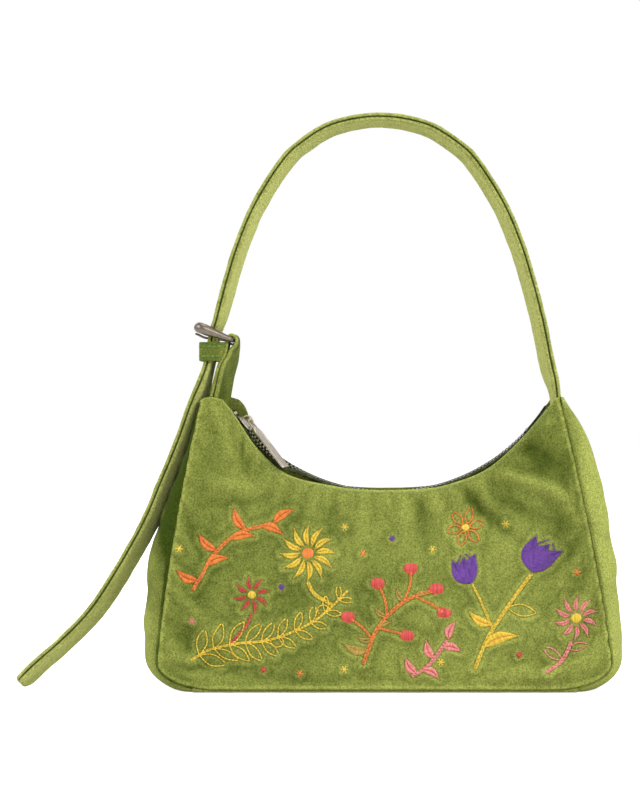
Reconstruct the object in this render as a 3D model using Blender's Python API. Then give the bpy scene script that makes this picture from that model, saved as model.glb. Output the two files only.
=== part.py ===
"""Small velvet shoulder bag: lined shell with gussets, curved zip, two-layer strap, buckle and keeper."""

import math

import bmesh
import bpy
from mathutils import Matrix, Vector

MM = 0.001
HALF = 0.5

# Shell: the front and back panels share one outline, narrower at the tips than at the base.
BASE_HALF_WIDTH = 124.5 * MM
TIP_HALF_WIDTH = 99.0 * MM
TIP_HEIGHT = 160.5 * MM
TIP_LEAN = 2.7 * MM
SIDE_CURVE_SHARE = 1.35
CORNER_WIDTH = 32 * MM
CORNER_HEIGHT = 15 * MM
SEAM_LIFT = 1.5 * MM
BASE_HALF_DEPTH = 31 * MM
MOUTH_HALF_DEPTH = 6.5 * MM
TIP_HALF_DEPTH = 10 * MM
DEPTH_CURVE_SHARE = 1.7
TIP_BLEND_SHARES = (0.72, 0.9)

# Sheet thicknesses, and the gap that neighbours keep.
GAP = 0.3 * MM
SEAM_GAP = 0.35 * MM
WELD = 0.003 * MM
VELVET = 1.2 * MM
FOAM = 1.5 * MM
LINING = 0.6 * MM
BOARD = 1.5 * MM

# Gussets: how far they bulge past the seam, as shares up the side.
GUSSET_BULGE = 13.2 * MM
BULGE_SHARES = ((0.0, 0.5), (0.2, 0.7), (0.4, 0.92), (0.6, 1.0), (0.75, 0.95), (0.9, 0.7), (1.0, 0.3))
PRESSED_SHARES = ((0.0, 0.5), (0.2, 0.7), (0.4, 0.95), (0.5, 0.9), (0.6, 0.6), (0.75, 0.27), (0.85, 0.07),
                  (0.93, 0.03), (1.0, 0.02))
BULGE_ROUND_SHARE = 2.5
BULGE_FULL_SHARE = 0.7
CROSS_SEAM_ANGLE = math.radians(24)
GUSSET_TOP = 1.5 * MM

# Zip: the chain lies on one arc, so that the slider turns about the arc's centre.
ZIP_PAST_TIP = 4.9 * MM
ZIP_RADIUS = TIP_HALF_WIDTH + ZIP_PAST_TIP
ZIP_RISE_SHARE = 0.49952
ZIP_CENTRE_X = 1.7 * MM
ZIP_CENTRE_Z = TIP_HEIGHT + ZIP_RADIUS * ZIP_RISE_SHARE
ZIP_TILT = math.radians(13)
ZIP_END = math.radians(47)
TAPE_END = math.radians(57)
TAPE_PAST_HEEL = 0.573 * MM
TAPE_TURN = math.radians(1.9)
SLIDER_TURN = math.radians(3.6)
TAPE_THICKNESS = 0.6 * MM
TEETH_THICKNESS = 1.6 * MM
TEETH_WIDTH = 1.7 * MM
TEETH_SPLIT = 0.5 * MM
STOP_LENGTH = 2.2 * MM
STOP_THICKNESS = 2.2 * MM
FRONT_EDGE_DROP = 0.9 * MM
MOUTH_CORNER_DROP = 1.4 * MM
BACK_EDGE_RISE = 2.0 * MM

# Zip slider and pull.
SLIDER_LENGTH = 9 * MM
SLIDER_WIDTH = 7.4 * MM
SLIDER_PLATE = 0.9 * MM
SLIDER_WEB = 0.4 * MM
BRIDGE_SPAN = 6.4 * MM
BRIDGE_RISE = 4.2 * MM
BRIDGE_RADIUS = 0.5 * MM
BRIDGE_SINK = 0.5 * MM
PULL_LENGTH = 34 * MM
PULL_WIDTH = 6.6 * MM
PULL_HEAD_WIDTH = 4.8 * MM
PULL_THICKNESS = 1.1 * MM
PULL_SLOT_LENGTH = 5.6 * MM
PULL_SLOT_WIDTH = 2.9 * MM
PULL_CROSSBAR = 1.1 * MM
PULL_ROLL = math.radians(25)
PULL_DIP = math.radians(8.3)
PULL_LIFT = 2.9 * MM

# Strap: one route from the tail's tip, through keeper and buckle, over the crown to the right tip.
STRAP_HALF_WIDTH = 10 * MM
LAYER = 2.1 * MM
LAYER_GROOVE = 0.3 * MM
LIP_ROUND = 0.55 * MM
LIP_SHARE = 0.9
STRAP_CENTRE_X = -3 * MM
STRAP_PAST_TIP = 1.5 * MM
STRAP_HALF_SPAN = TIP_HALF_WIDTH + STRAP_PAST_TIP
STRAP_RISE = 153.2 * MM
ROOT_RISE = 3.8 * MM
ROOT_SINK = 8.5 * MM
ROOT_TAPER = 7.7 * MM
ROOT_HEIGHT = TIP_HEIGHT + ROOT_RISE
ROOT_HALF_WIDTH = 7.6 * MM
FOLD_RISE = 55.5 * MM
FOLD_HEIGHT = TIP_HEIGHT + FOLD_RISE
BEND_HALF_LENGTH = 12.5 * MM
KEEPER_INSET = 3.5 * MM
KEEPER_RISE = 19.7 * MM
KEEPER_X = STRAP_CENTRE_X - STRAP_HALF_SPAN + KEEPER_INSET
KEEPER_BASE = TIP_HEIGHT + KEEPER_RISE
BUCKLE_REACH = 8.4 * MM
BUCKLE_CLIMB = 16.85 * MM
BUCKLE_SHARES = ((0.23, 0.59), (0.34, 1.0))
TAIL_REACH = 80 * MM
TAIL_TIP = 6.4 * MM
TAIL_FORWARD = 15 * MM
ARCH_SHARES = ((0.918, 0.253), (0.861, 0.397), (0.792, 0.541), (0.697, 0.684), (0.559, 0.827),
               (0.45, 0.899), (0.264, 0.971))
FLANK_SHARES = ((0.962, 0.109), (0.998, 0.0))
TAIL_SHARES = ((0.9854, 0.0), (0.8662, 0.059), (0.7297, 0.12), (0.6084, 0.182), (0.5063, 0.25),
               (0.3818, 0.372), (0.277, 0.5), (0.2134, 0.624), (0.1556, 0.748), (0.1152, 0.875),
               (0.0563, 0.943))
TWIST_FLANK = math.radians(12)
TWIST_CROWN = math.radians(5)
TWIST_BUCKLE = math.radians(3)
TWIST_TAIL = math.radians(9)
TWIST_TIP_HEIGHT = 150 * MM
TWIST_LOW_HEIGHT = 90 * MM

# Buckle: heel bar in the tab's fold, end bar beyond the strap.
HEEL_INSET = 15.5 * MM
HEEL_RISE = 11.8 * MM
HEEL_X = KEEPER_X + HEEL_INSET
HEEL_Z = KEEPER_BASE + HEEL_RISE
TAPE_START = math.asin((HEEL_X + TAPE_PAST_HEEL - ZIP_CENTRE_X) / ZIP_RADIUS)
ZIP_START = TAPE_START + TAPE_TURN
SLIDER_ANGLE = ZIP_START + SLIDER_TURN
FRAME_LENGTH = 19 * MM
FRAME_ANGLE = math.radians(159.1)
FRAME_HALF_WIDTH = 12.4 * MM
FRAME_CORNER = 3 * MM
HEEL_RADIUS = 1.35 * MM
END_RADIUS = 2.8 * MM
PRONG_RADIUS = 0.9 * MM
PRONG_OVERHANG = 0.8 * MM
PRONG_SHARES = ((0.25, 0.43), (0.55, 0.75), (0.8, 1.05))
HOLE_ALONG_SHARE = 0.52
HOLE_BELOW_SHARE = 0.7
HOLE_CLEARANCE = 0.6 * MM
HOLE_RISE = 3.3 * MM

# Tab: velvet folded round the heel bar and sewn into the left tip.
TAB_WRAP = 3.5 * MM
TAB_REACH = 11.2 * MM
TAB_WIDTH = 20 * MM
TAB_ROOT_WIDTH = 15.2 * MM
TAB_SINK = 8.5 * MM
TAB_TAPER_RISE = 12 * MM
TAB_TAPER = 10 * MM
TAB_FOOT = TIP_HEIGHT - TAB_SINK
TAB_OUTER_SHARES = ((0.62, -0.12), (0.42, -0.36), (0.24, -0.62), (0.0, -0.8))
TAB_INNER_SHARES = ((0.0, 0.02), (0.22, 0.0), (0.5, 0.15), (0.72, 0.36), (0.88, 0.42))
TAB_SLOT_WIDTH = 3.2 * MM
TAB_SLOT_DEPTH = 8 * MM

# Keeper: a sewn loop round the strap, below the buckle.
KEEPER_TALL = 10.5 * MM
KEEPER_TOP = KEEPER_BASE + KEEPER_TALL
KEEPER_WALL = 1.2 * MM
KEEPER_OUTSIDE = 1.5 * MM
KEEPER_WIDTH = 12.9 * MM
KEEPER_LEFT = KEEPER_X - KEEPER_OUTSIDE
KEEPER_RIGHT = KEEPER_LEFT + KEEPER_WIDTH
KEEPER_SLANT = 1.3 * MM
KEEPER_HALF_WIDTH = 12.2 * MM
KEEPER_ROUND = 2.4 * MM

# Pocket on the back lining, as shares across and up the panel.
POCKET_ACROSS_SHARE = 0.42
POCKET_UP_SHARES = (0.1, 0.7)

# Base board.
BOARD_EDGE = 5 * MM
BOARD_END = 15 * MM
LINING_END = 10 * MM

# Mesh counts.
ARC_COLUMNS = 18
PANEL_ROW_SHARES = (0.0, 0.14, 0.3, 0.46, 0.62, 0.77, 0.92, 1.0)
GUSSET_CORNER_ROWS = 3
GUSSET_SIDE_ROWS = 9
GUSSET_SHARES = (-1.0, -0.86, -0.6, -0.3, 0.0, 0.3, 0.6, 0.86, 1.0)
ZIP_ROWS = 30
ARCH_ROWS = 40
TAIL_ROWS = 18
STUB_ROWS = 6
ROUTE_SAMPLES = 900
SOLVE_STEPS = 40
ROUND_SIDES = 12
SHARP_ANGLE = math.radians(50)
NORMAL_SAMPLES = 4
STOP_ROWS = 2
MOUTH_WAVES = 3
CORNER_STEPS = 4
BRIDGE_POINTS = 9
WRAP_POINTS = 12
WRAP_START = math.radians(-50)
WRAP_ANGLE = math.radians(285)
OVERRUN = 4 * MM

STRAP_WIDTH_SHARES = (-1.0, -LIP_SHARE, 0.0, LIP_SHARE, 1.0)


def clear_scene():
    """Remove every object that the file opened with."""
    for item in list(bpy.data.objects):
        bpy.data.objects.remove(item, do_unlink=True)


def make_collection(name):
    """A collection linked to the scene."""
    group = bpy.data.collections.new(name)
    bpy.context.scene.collection.children.link(group)
    return group


def make_material(name, colour, roughness, metallic=0.0):
    """A plain Principled material."""
    material = bpy.data.materials.new(name)
    material.use_nodes = True
    shader = material.node_tree.nodes["Principled BSDF"]
    shader.inputs["Base Color"].default_value = (*colour, 1.0)
    shader.inputs["Roughness"].default_value = roughness
    shader.inputs["Metallic"].default_value = metallic
    return material


def add_object(name, data, group, material, origin=None):
    """Link new mesh or curve data as a named object, with its origin on the given point."""
    item = bpy.data.objects.new(name, data)
    group.objects.link(item)
    if material:
        data.materials.append(material)
    if origin is not None:
        item.location = origin
    return item


def axis_empty(name, location, group):
    """A plain empty on a joint's axis."""
    empty = bpy.data.objects.new(name, None)
    empty.location = location
    group.objects.link(empty)
    return empty


def carry(item, empty):
    """Parent a piece to its joint's empty and leave it where it is."""
    bpy.context.view_layer.update()
    item.parent = empty
    item.matrix_parent_inverse = empty.matrix_world.inverted()


def smooth(value):
    """Ease from 0 to 1."""
    value = min(max(value, 0.0), 1.0)
    return value * value * (3 - 2 * value)


def mix(start, end, share):
    """Straight blend of two values."""
    return start + (end - start) * share


def spline_point(points, share):
    """A point on the smooth curve through the points, at a share of their count."""
    place = share * (len(points) - 1)
    index = min(int(place), len(points) - 2)
    t = place - index
    before = points[max(index - 1, 0)]
    after = points[min(index + 2, len(points) - 1)]
    values = []
    for a, b, c, d in zip(before, points[index], points[index + 1], after):
        bend = (2 * a - 5 * b + 4 * c - d) * t * t + (3 * b - a - 3 * c + d) * t ** 3
        values.append(HALF * (2 * b + (c - a) * t + bend))
    return values


def table_value(pairs, share):
    """Read a table of (place, value) shares, eased between its rows."""
    for (place, value), (next_place, next_value) in zip(pairs, pairs[1:]):
        if share <= next_place:
            return mix(value, next_value, smooth((share - place) / (next_place - place)))
    return pairs[-1][1]


def face_outwards(solid):
    """Turn a closed mesh's faces to the outside."""
    bmesh.ops.recalc_face_normals(solid, faces=solid.faces[:])
    if solid.calc_volume(signed=True) < 0:
        bmesh.ops.reverse_faces(solid, faces=solid.faces[:])


def shell(name, columns, rows, outer, inner, group, material, origin=(0, 0, 0)):
    """A sheet with thickness: a grid is extruded once, and each side takes its own surface."""
    sheet = bmesh.new()
    bmesh.ops.create_grid(sheet, x_segments=columns, y_segments=rows, size=HALF)
    places = {}
    for vert in sheet.verts:
        places[vert] = (round((vert.co.x + HALF) * columns), round((vert.co.y + HALF) * rows))
    raised = bmesh.ops.extrude_face_region(sheet, geom=sheet.faces[:])
    new_verts = [item for item in raised["geom"] if isinstance(item, bmesh.types.BMVert)]
    for vert in new_verts:
        place = (round((vert.co.x + HALF) * columns), round((vert.co.y + HALF) * rows))
        vert.co = Vector(outer(*place)) - Vector(origin)
    for vert, place in places.items():
        vert.co = Vector(inner(*place)) - Vector(origin)
    face_outwards(sheet)
    mesh = bpy.data.meshes.new(name)
    sheet.to_mesh(mesh)
    sheet.free()
    mesh.shade_smooth()
    mesh.set_sharp_from_angle(angle=SHARP_ANGLE)
    return add_object(name, mesh, group, material, origin)


def prism(name, outlines, thickness, group, material, matrix=None):
    """A flat outline, with any holes, drawn out to a thickness and turned into a mesh."""
    curve = bpy.data.curves.new(name, "CURVE")
    curve.dimensions = "2D"
    curve.fill_mode = "BOTH"
    curve.extrude = thickness * HALF
    for outline in outlines:
        spline = curve.splines.new("POLY")
        spline.points.add(len(outline) - 1)
        for point, (x, y) in zip(spline.points, outline):
            point.co = (x, y, 0, 1)
        spline.use_cyclic_u = True
    return curve_to_mesh(name, curve, group, material, matrix)


def curve_to_mesh(name, curve, group, material, matrix=None):
    """Make a curve's solid a plain mesh object with its caps welded."""
    guide = bpy.data.objects.new(name + "_guide", curve)
    bpy.context.scene.collection.objects.link(guide)
    if matrix is not None:
        guide.matrix_world = matrix
    bpy.context.view_layer.update()
    graph = bpy.context.evaluated_depsgraph_get()
    mesh = bpy.data.meshes.new_from_object(guide.evaluated_get(graph))
    mesh.name = name
    mesh.materials.clear()
    solid = bmesh.new()
    solid.from_mesh(mesh)
    bmesh.ops.remove_doubles(solid, verts=solid.verts[:], dist=WELD)
    face_outwards(solid)
    solid.to_mesh(mesh)
    solid.free()
    item = add_object(name, mesh, group, material)
    item.matrix_world = guide.matrix_world
    bpy.data.objects.remove(guide, do_unlink=True)
    bpy.data.curves.remove(curve)
    return item


def wire(name, points, radii, group, material, cyclic=False, sides=2, matrix=None):
    """A round bar along a list of points, with a radius at each."""
    curve = bpy.data.curves.new(name, "CURVE")
    curve.dimensions = "3D"
    curve.bevel_depth = 1.0
    curve.bevel_resolution = sides
    curve.use_fill_caps = True
    spline = curve.splines.new("POLY")
    spline.points.add(len(points) - 1)
    for point, place, radius in zip(spline.points, points, radii):
        point.co = (*place, 1)
        point.radius = radius
    spline.use_cyclic_u = cyclic
    return curve_to_mesh(name, curve, group, material, matrix)


def add_boolean(item, cutter, operation):
    """Cut or join with another object, which stays out of the part."""
    cutter.hide_render = True
    cutter.display_type = "WIRE"
    change = item.modifiers.new(operation.title(), "BOOLEAN")
    change.operation = operation
    change.object = cutter
    change.solver = "EXACT"


def move_origin(item, origin):
    """Put an object's origin on a point and leave its shape where it is."""
    bpy.context.view_layer.update()
    item.data.transform(Matrix.Translation(-Vector(origin)) @ item.matrix_world)
    item.matrix_world = Matrix.Translation(origin)


def height_share(z):
    """Height as a share of the tips' height."""
    return min(max(z / TIP_HEIGHT, 0.0), 1.0)


def half_width(z):
    """Half the panel's width at a height."""
    return mix(BASE_HALF_WIDTH, TIP_HALF_WIDTH, height_share(z) ** SIDE_CURVE_SHARE)


def panel_x(across, z):
    """A place across the panel, with the shell's slight lean to the left."""
    return across * half_width(z) - TIP_LEAN * height_share(z)


def seam_floor(across):
    """Height of the lower seam, which turns up in a wide round at each corner."""
    into_corner = abs(across) * BASE_HALF_WIDTH - (BASE_HALF_WIDTH - CORNER_WIDTH)
    turn = min(max(into_corner / CORNER_WIDTH, 0.0), 1.0)
    return SEAM_LIFT + CORNER_HEIGHT * (1 - math.sqrt(1 - turn * turn))


def edge_radius(side, angle):
    """Radius of the mouth's edge about the zip's centre: a little below the zip in front, above it behind."""
    if side > 0:
        return ZIP_RADIUS - BACK_EDGE_RISE
    return ZIP_RADIUS + FRONT_EDGE_DROP + MOUTH_CORNER_DROP * math.sin(MOUTH_WAVES * angle) ** 2


def mouth_height(side, across):
    """Height of a panel's top edge, which dips along the mouth between the two tips."""
    z = TIP_HEIGHT
    for _ in range(SOLVE_STEPS):
        reach = panel_x(across, z) - ZIP_CENTRE_X
        angle = math.asin(min(abs(reach) / ZIP_RADIUS, 1.0))
        radius = edge_radius(side, angle)
        below = radius * radius - reach * reach
        if below <= 0:
            return TIP_HEIGHT
        z = min(TIP_HEIGHT, ZIP_CENTRE_Z - math.sqrt(below))
    return z


def panel_depth(across, rise):
    """Distance of the panel's face from the middle plane, from full at the base to narrow at the mouth."""
    start, end = TIP_BLEND_SHARES
    top = mix(MOUTH_HALF_DEPTH, TIP_HALF_DEPTH, smooth((abs(across) - start) / (end - start)))
    return mix(BASE_HALF_DEPTH, top, min(max(rise, 0.0), 1.0) ** DEPTH_CURVE_SHARE)


def arc_columns():
    """Shares across the panel: even steps along the mouth's arc, and one column for each tip."""
    limit = math.acos((ZIP_CENTRE_Z - TIP_HEIGHT) / ZIP_RADIUS)
    shares = [-1.0]
    for index in range(ARC_COLUMNS + 1):
        angle = mix(-limit, limit, index / ARC_COLUMNS)
        z = ZIP_CENTRE_Z - ZIP_RADIUS * math.cos(angle)
        x = ZIP_CENTRE_X + ZIP_RADIUS * math.sin(angle)
        shares.append((x + TIP_LEAN * height_share(z)) / half_width(z))
    shares.append(1.0)
    return shares


PANEL_SHARES = arc_columns()


def panel_layer(name, side, inset, thickness, group, material, across=1.0, up=(0.0, 1.0)):
    """One sheet of a panel, inset from the velvet's face, on the part of the panel's grid that it covers."""
    columns = [share for share in PANEL_SHARES if abs(share) <= across]
    rows = [share for share in PANEL_ROW_SHARES if up[0] <= share <= up[1]]

    def place(column, row, depth_in):
        share = columns[column]
        z = mix(seam_floor(share), mouth_height(side, share), rows[row])
        y = side * (panel_depth(share, rows[row]) - depth_in)
        return panel_x(share, z), y, z

    return shell(name, len(columns) - 1, len(rows) - 1,
                 lambda column, row: place(column, row, inset),
                 lambda column, row: place(column, row, inset + thickness), group, material)


def side_path():
    """The side seam from the cross seam in the base, round the corner and up to the tip."""
    points = []
    for index in range(GUSSET_CORNER_ROWS):
        angle = mix(CROSS_SEAM_ANGLE, math.pi / 2, index / GUSSET_CORNER_ROWS)
        x = BASE_HALF_WIDTH - CORNER_WIDTH + CORNER_WIDTH * math.sin(angle)
        z = SEAM_LIFT + CORNER_HEIGHT * (1 - math.cos(angle))
        points.append((x, z, math.sin(angle), -math.cos(angle)))
    for index in range(GUSSET_SIDE_ROWS + 1):
        z = mix(SEAM_LIFT + CORNER_HEIGHT, TIP_HEIGHT - GUSSET_TOP, index / GUSSET_SIDE_ROWS)
        points.append((half_width(z), z, 1.0, 0.0))
    return points


SIDE_PATH = side_path()


def gusset_layer(name, side, inset, thickness, narrower, bulge_shares, rows, group, material):
    """One sheet of a side gusset, on the outside (velvet) or inside it (lining)."""
    def place(column, row, depth_in):
        seam, z, out_x, out_z = SIDE_PATH[row]
        w = GUSSET_SHARES[column]
        rise = (z - SEAM_LIFT - CORNER_HEIGHT) / (TIP_HEIGHT - SEAM_LIFT - CORNER_HEIGHT)
        depth = panel_depth(1.0, rise) - narrower - (depth_in - inset)
        swell = GUSSET_BULGE * table_value(bulge_shares, height_share(z))
        full = (1 - abs(w) ** BULGE_ROUND_SHARE) ** BULGE_FULL_SHARE
        if narrower == 0:
            out = SEAM_GAP + max(swell - depth_in, 0) * full
        else:
            out = SEAM_GAP + swell * full - depth_in
        x = seam + out_x * (out if row > 0 else SEAM_GAP)
        foot = z + out_z * out
        return side * x - TIP_LEAN * height_share(z), w * depth, max(foot, depth_in)

    return shell(name, len(GUSSET_SHARES) - 1, rows,
                 lambda column, row: place(column, row, inset),
                 lambda column, row: place(column, row, inset + thickness), group, material)


def base_sheet(name, half_depth_trim, lift, thickness, length_trim, group, material, round_edges):
    """One flat sheet of the base, between the two cross seams."""
    cross_seam = BASE_HALF_WIDTH - CORNER_WIDTH + CORNER_WIDTH * math.sin(CROSS_SEAM_ANGLE)
    half_length = cross_seam - length_trim
    inner = [share * BASE_HALF_WIDTH for share in PANEL_SHARES if abs(share) * BASE_HALF_WIDTH < half_length]
    stations = [-half_length] + inner + [half_length]

    def place(column, row, height):
        x = stations[row]
        w = GUSSET_SHARES[column]
        depth = BASE_HALF_DEPTH - half_depth_trim
        z = height
        if round_edges and abs(w) == 1:
            z = seam_floor(x / BASE_HALF_WIDTH) - SEAM_GAP
            depth -= height
        return x, w * depth, z

    return shell(name, len(GUSSET_SHARES) - 1, len(stations) - 1,
                 lambda column, row: place(column, row, lift),
                 lambda column, row: place(column, row, lift + thickness), group, material)


def on_arc(angle, y, lift):
    """A point on the zip's tilted surface, lifted towards the arc's centre."""
    radius = ZIP_RADIUS - y * math.tan(ZIP_TILT) - lift
    return ZIP_CENTRE_X + radius * math.sin(angle), y, ZIP_CENTRE_Z - radius * math.cos(angle)


def zip_strip(name, side, near, far, thickness, start, end, rows, group, material):
    """A strip along the zip's arc, between two distances from its middle line."""
    def place(column, row, lift):
        angle = mix(start, end, row / rows)
        return on_arc(angle, side * mix(near, far, column), lift)

    return shell(name, 1, rows,
                 lambda column, row: place(column, row, thickness * HALF),
                 lambda column, row: place(column, row, -thickness * HALF), group, material)


def zip_matrix(angle):
    """Local frame on the chain: X along it, Y across it towards the back, Z up from it."""
    along = Vector((math.cos(angle), 0, math.sin(angle)))
    up = Vector((-math.sin(angle), 0, math.cos(angle)))
    turn = Matrix((along, Vector((0, 1, 0)), up)).transposed().to_4x4()
    return Matrix.Translation(on_arc(angle, 0, 0)) @ turn @ Matrix.Rotation(ZIP_TILT, 4, "X")


def rounded_rectangle(x_low, x_high, y_low, y_high, radius):
    """Outline of a rectangle with round corners."""
    points = []
    centres = ((x_high - radius, y_high - radius, 0), (x_low + radius, y_high - radius, 1),
               (x_low + radius, y_low + radius, 2), (x_high - radius, y_low + radius, 3))
    for centre_x, centre_y, quarter in centres:
        for step in range(CORNER_STEPS + 1):
            angle = (quarter + step / CORNER_STEPS) * math.pi / 2
            points.append((centre_x + radius * math.cos(angle), centre_y + radius * math.sin(angle)))
    return points


def make_slider(group, cutters, material):
    """Slider: two plates joined by a web between the rows of teeth, with a bridge for the pull."""
    inner = TEETH_THICKNESS * HALF + GAP
    outer = inner + SLIDER_PLATE
    half = SLIDER_WIDTH * HALF
    web = SLIDER_WEB * HALF
    section = [(-half, -outer), (half, -outer), (half, -inner), (web, -inner), (web, inner), (half, inner),
               (half, outer), (-half, outer), (-half, inner), (-web, inner), (-web, -inner), (-half, -inner)]
    matrix = zip_matrix(SLIDER_ANGLE)
    stand = Matrix(((0, 0, 1), (1, 0, 0), (0, 1, 0))).to_4x4()
    slider = prism("zip_slider", [section], SLIDER_LENGTH, group, material, matrix @ stand)
    points = []
    for index in range(BRIDGE_POINTS):
        angle = math.pi * (1 - index / (BRIDGE_POINTS - 1))
        height = outer - BRIDGE_SINK + (BRIDGE_RISE + BRIDGE_SINK) * math.sqrt(math.sin(angle))
        points.append((BRIDGE_SPAN * HALF * math.cos(angle), 0, height))
    bridge = wire("slider_bridge", points, [BRIDGE_RADIUS] * len(points), cutters, None, matrix=matrix)
    move_origin(slider, (ZIP_CENTRE_X, 0, ZIP_CENTRE_Z))
    add_boolean(slider, bridge, "UNION")
    return slider


def pull_matrix():
    """Local frame of the pull at rest: X down its length, Y across it, Z out of its face."""
    height = TEETH_THICKNESS * HALF + GAP + SLIDER_PLATE
    base = zip_matrix(SLIDER_ANGLE) @ Matrix.Translation((0, 0, height + PULL_LIFT - PULL_CROSSBAR * HALF))
    return base @ Matrix.Rotation(-PULL_DIP, 4, "Y") @ Matrix.Rotation(PULL_ROLL, 4, "X")


def make_pull(group, material):
    """Flat bar with a slotted head that hangs on the slider's bridge."""
    head = PULL_HEAD_WIDTH * HALF
    body = PULL_WIDTH * HALF
    neck = PULL_SLOT_LENGTH + PULL_CROSSBAR
    bar = PULL_CROSSBAR * HALF
    round_end = PULL_CROSSBAR
    outline = [(-bar, -head + round_end), (-bar + round_end, -head), (neck, -head), (neck + head, -body),
               (PULL_LENGTH - round_end, -body), (PULL_LENGTH, -body + round_end),
               (PULL_LENGTH, body - round_end), (PULL_LENGTH - round_end, body), (neck + head, body),
               (neck, head), (-bar + round_end, head), (-bar, head - round_end)]
    slot_half = PULL_SLOT_WIDTH * HALF
    slot = [(bar, -slot_half), (bar, slot_half), (neck - slot_half, slot_half), (neck, 0),
            (neck - slot_half, -slot_half)]
    matrix = pull_matrix()
    pull = prism("zip_pull", [outline, slot], PULL_THICKNESS, group, material, matrix)
    move_origin(pull, matrix.translation)
    return pull


def route_points():
    """Outer face of the strap at its front edge, from the tail's tip to the right root, as (x, z)."""
    points = []
    for reach, rise in TAIL_SHARES:
        z = mix(TAIL_TIP, KEEPER_BASE, rise)
        points.append((-half_width(z) - TAIL_REACH * reach, z))
    points.append((KEEPER_X, KEEPER_BASE))
    for across, rise in BUCKLE_SHARES:
        points.append((KEEPER_X + BUCKLE_REACH * across, KEEPER_BASE + BUCKLE_CLIMB * rise))
    for across, rise in ARCH_SHARES:
        points.append((STRAP_CENTRE_X - STRAP_HALF_SPAN * across, ROOT_HEIGHT + STRAP_RISE * rise))
    points.append((STRAP_CENTRE_X, ROOT_HEIGHT + STRAP_RISE))
    for across, rise in reversed(ARCH_SHARES):
        points.append((STRAP_CENTRE_X + STRAP_HALF_SPAN * across, ROOT_HEIGHT + STRAP_RISE * rise))
    for across, rise in FLANK_SHARES:
        points.append((STRAP_CENTRE_X + STRAP_HALF_SPAN * across, ROOT_HEIGHT + STRAP_RISE * rise))
    points.append((STRAP_CENTRE_X + STRAP_HALF_SPAN, TIP_HEIGHT - ROOT_SINK))
    return points


def sample_route():
    """Fine samples of the route, each with its running length."""
    points = route_points()
    samples = []
    length = 0.0
    for index in range(ROUTE_SAMPLES + 1):
        place = Vector(spline_point(points, index / ROUTE_SAMPLES))
        if samples:
            length += (place - samples[-1][1]).length
        samples.append((length, place))
    return samples


ROUTE = sample_route()


def route_at(length):
    """Place and inner normal of the route at a running length."""
    low = 0
    high = len(ROUTE) - 1
    while high - low > 1:
        middle = (low + high) // 2
        if ROUTE[middle][0] <= length:
            low = middle
        else:
            high = middle
    start_length, start = ROUTE[low]
    end_length, end = ROUTE[high]
    share = (length - start_length) / (end_length - start_length)
    before = ROUTE[max(low - NORMAL_SAMPLES, 0)][1]
    after = ROUTE[min(high + NORMAL_SAMPLES, len(ROUTE) - 1)][1]
    along = (after - before).normalized()
    return start.lerp(end, share), Vector((along.y, -along.x))


def length_at_height(z, left=True):
    """Running length where the route crosses a height, on the left or on the right."""
    samples = ROUTE if left else list(reversed(ROUTE))
    for length, place in samples:
        if place.y >= z:
            return length
    return samples[-1][0]


def strap_twist(place, normal):
    """The strap's front edge stands outward of its back edge, least at the buckle and the crown."""
    flank = mix(TWIST_CROWN, TWIST_FLANK, abs(normal.x))
    if place.x > STRAP_CENTRE_X:
        return flank
    if place.y > KEEPER_TOP:
        return mix(TWIST_BUCKLE, flank, smooth((place.y - KEEPER_TOP) / (FOLD_HEIGHT - KEEPER_TOP)))
    drop = (TWIST_TIP_HEIGHT - place.y) / (TWIST_TIP_HEIGHT - TWIST_LOW_HEIGHT)
    return mix(TWIST_BUCKLE, TWIST_TAIL, smooth(drop))


def strap_half_width(place):
    """Half the strap's width, drawn in where it enters the right tip."""
    if place.x < STRAP_CENTRE_X:
        return STRAP_HALF_WIDTH
    return mix(ROOT_HALF_WIDTH, STRAP_HALF_WIDTH, smooth((place.y - ROOT_HEIGHT) / ROOT_TAPER))


def tail_forward(place):
    """How far the tail has drifted to the front at a place below the keeper."""
    if place.x > STRAP_CENTRE_X or place.y > KEEPER_BASE:
        return 0.0
    return TAIL_FORWARD * ((KEEPER_BASE - place.y) / KEEPER_BASE) ** 2


def strap_layer(name, start, end, rows, layer, group, material, origin):
    """One of the strap's two layers, between two running lengths."""
    face = layer * (LAYER + LAYER_GROOVE)

    def place(column, row, depth_in):
        w = STRAP_WIDTH_SHARES[column]
        point, normal = route_at(mix(start, end, row / rows))
        half = strap_half_width(point)
        thin = 0.0
        if abs(w) == 1:
            thin = LIP_ROUND if depth_in == face else -LIP_ROUND
        shift = depth_in + thin + (w * half + STRAP_HALF_WIDTH) * math.tan(strap_twist(point, normal))
        flat = point + normal * shift
        return flat.x, w * half - tail_forward(point), flat.y

    return shell(name, len(STRAP_WIDTH_SHARES) - 1, rows,
                 lambda column, row: place(column, row, face),
                 lambda column, row: place(column, row, face + LAYER), group, material, origin)


def frame_direction():
    """Unit vectors of the buckle: from heel bar to end bar, and out of its lower side."""
    along = Vector((math.cos(FRAME_ANGLE), 0, math.sin(FRAME_ANGLE)))
    below = Vector((-along.z, 0, along.x))
    return along, below


def make_frame(group, material):
    """Buckle frame: one closed bar, slim at the heel and stout at the end."""
    heel = Vector((HEEL_X, 0, HEEL_Z))
    along, _ = frame_direction()
    outline = rounded_rectangle(0, FRAME_LENGTH, -FRAME_HALF_WIDTH, FRAME_HALF_WIDTH, FRAME_CORNER)
    points = [along * reach + Vector((0, y, 0)) for reach, y in outline]
    radii = [mix(HEEL_RADIUS, END_RADIUS, smooth(reach / FRAME_LENGTH)) for reach, _ in outline]
    frame = wire("buckle_frame", points, radii, group, material, cyclic=True)
    frame.location = heel
    return frame


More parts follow.
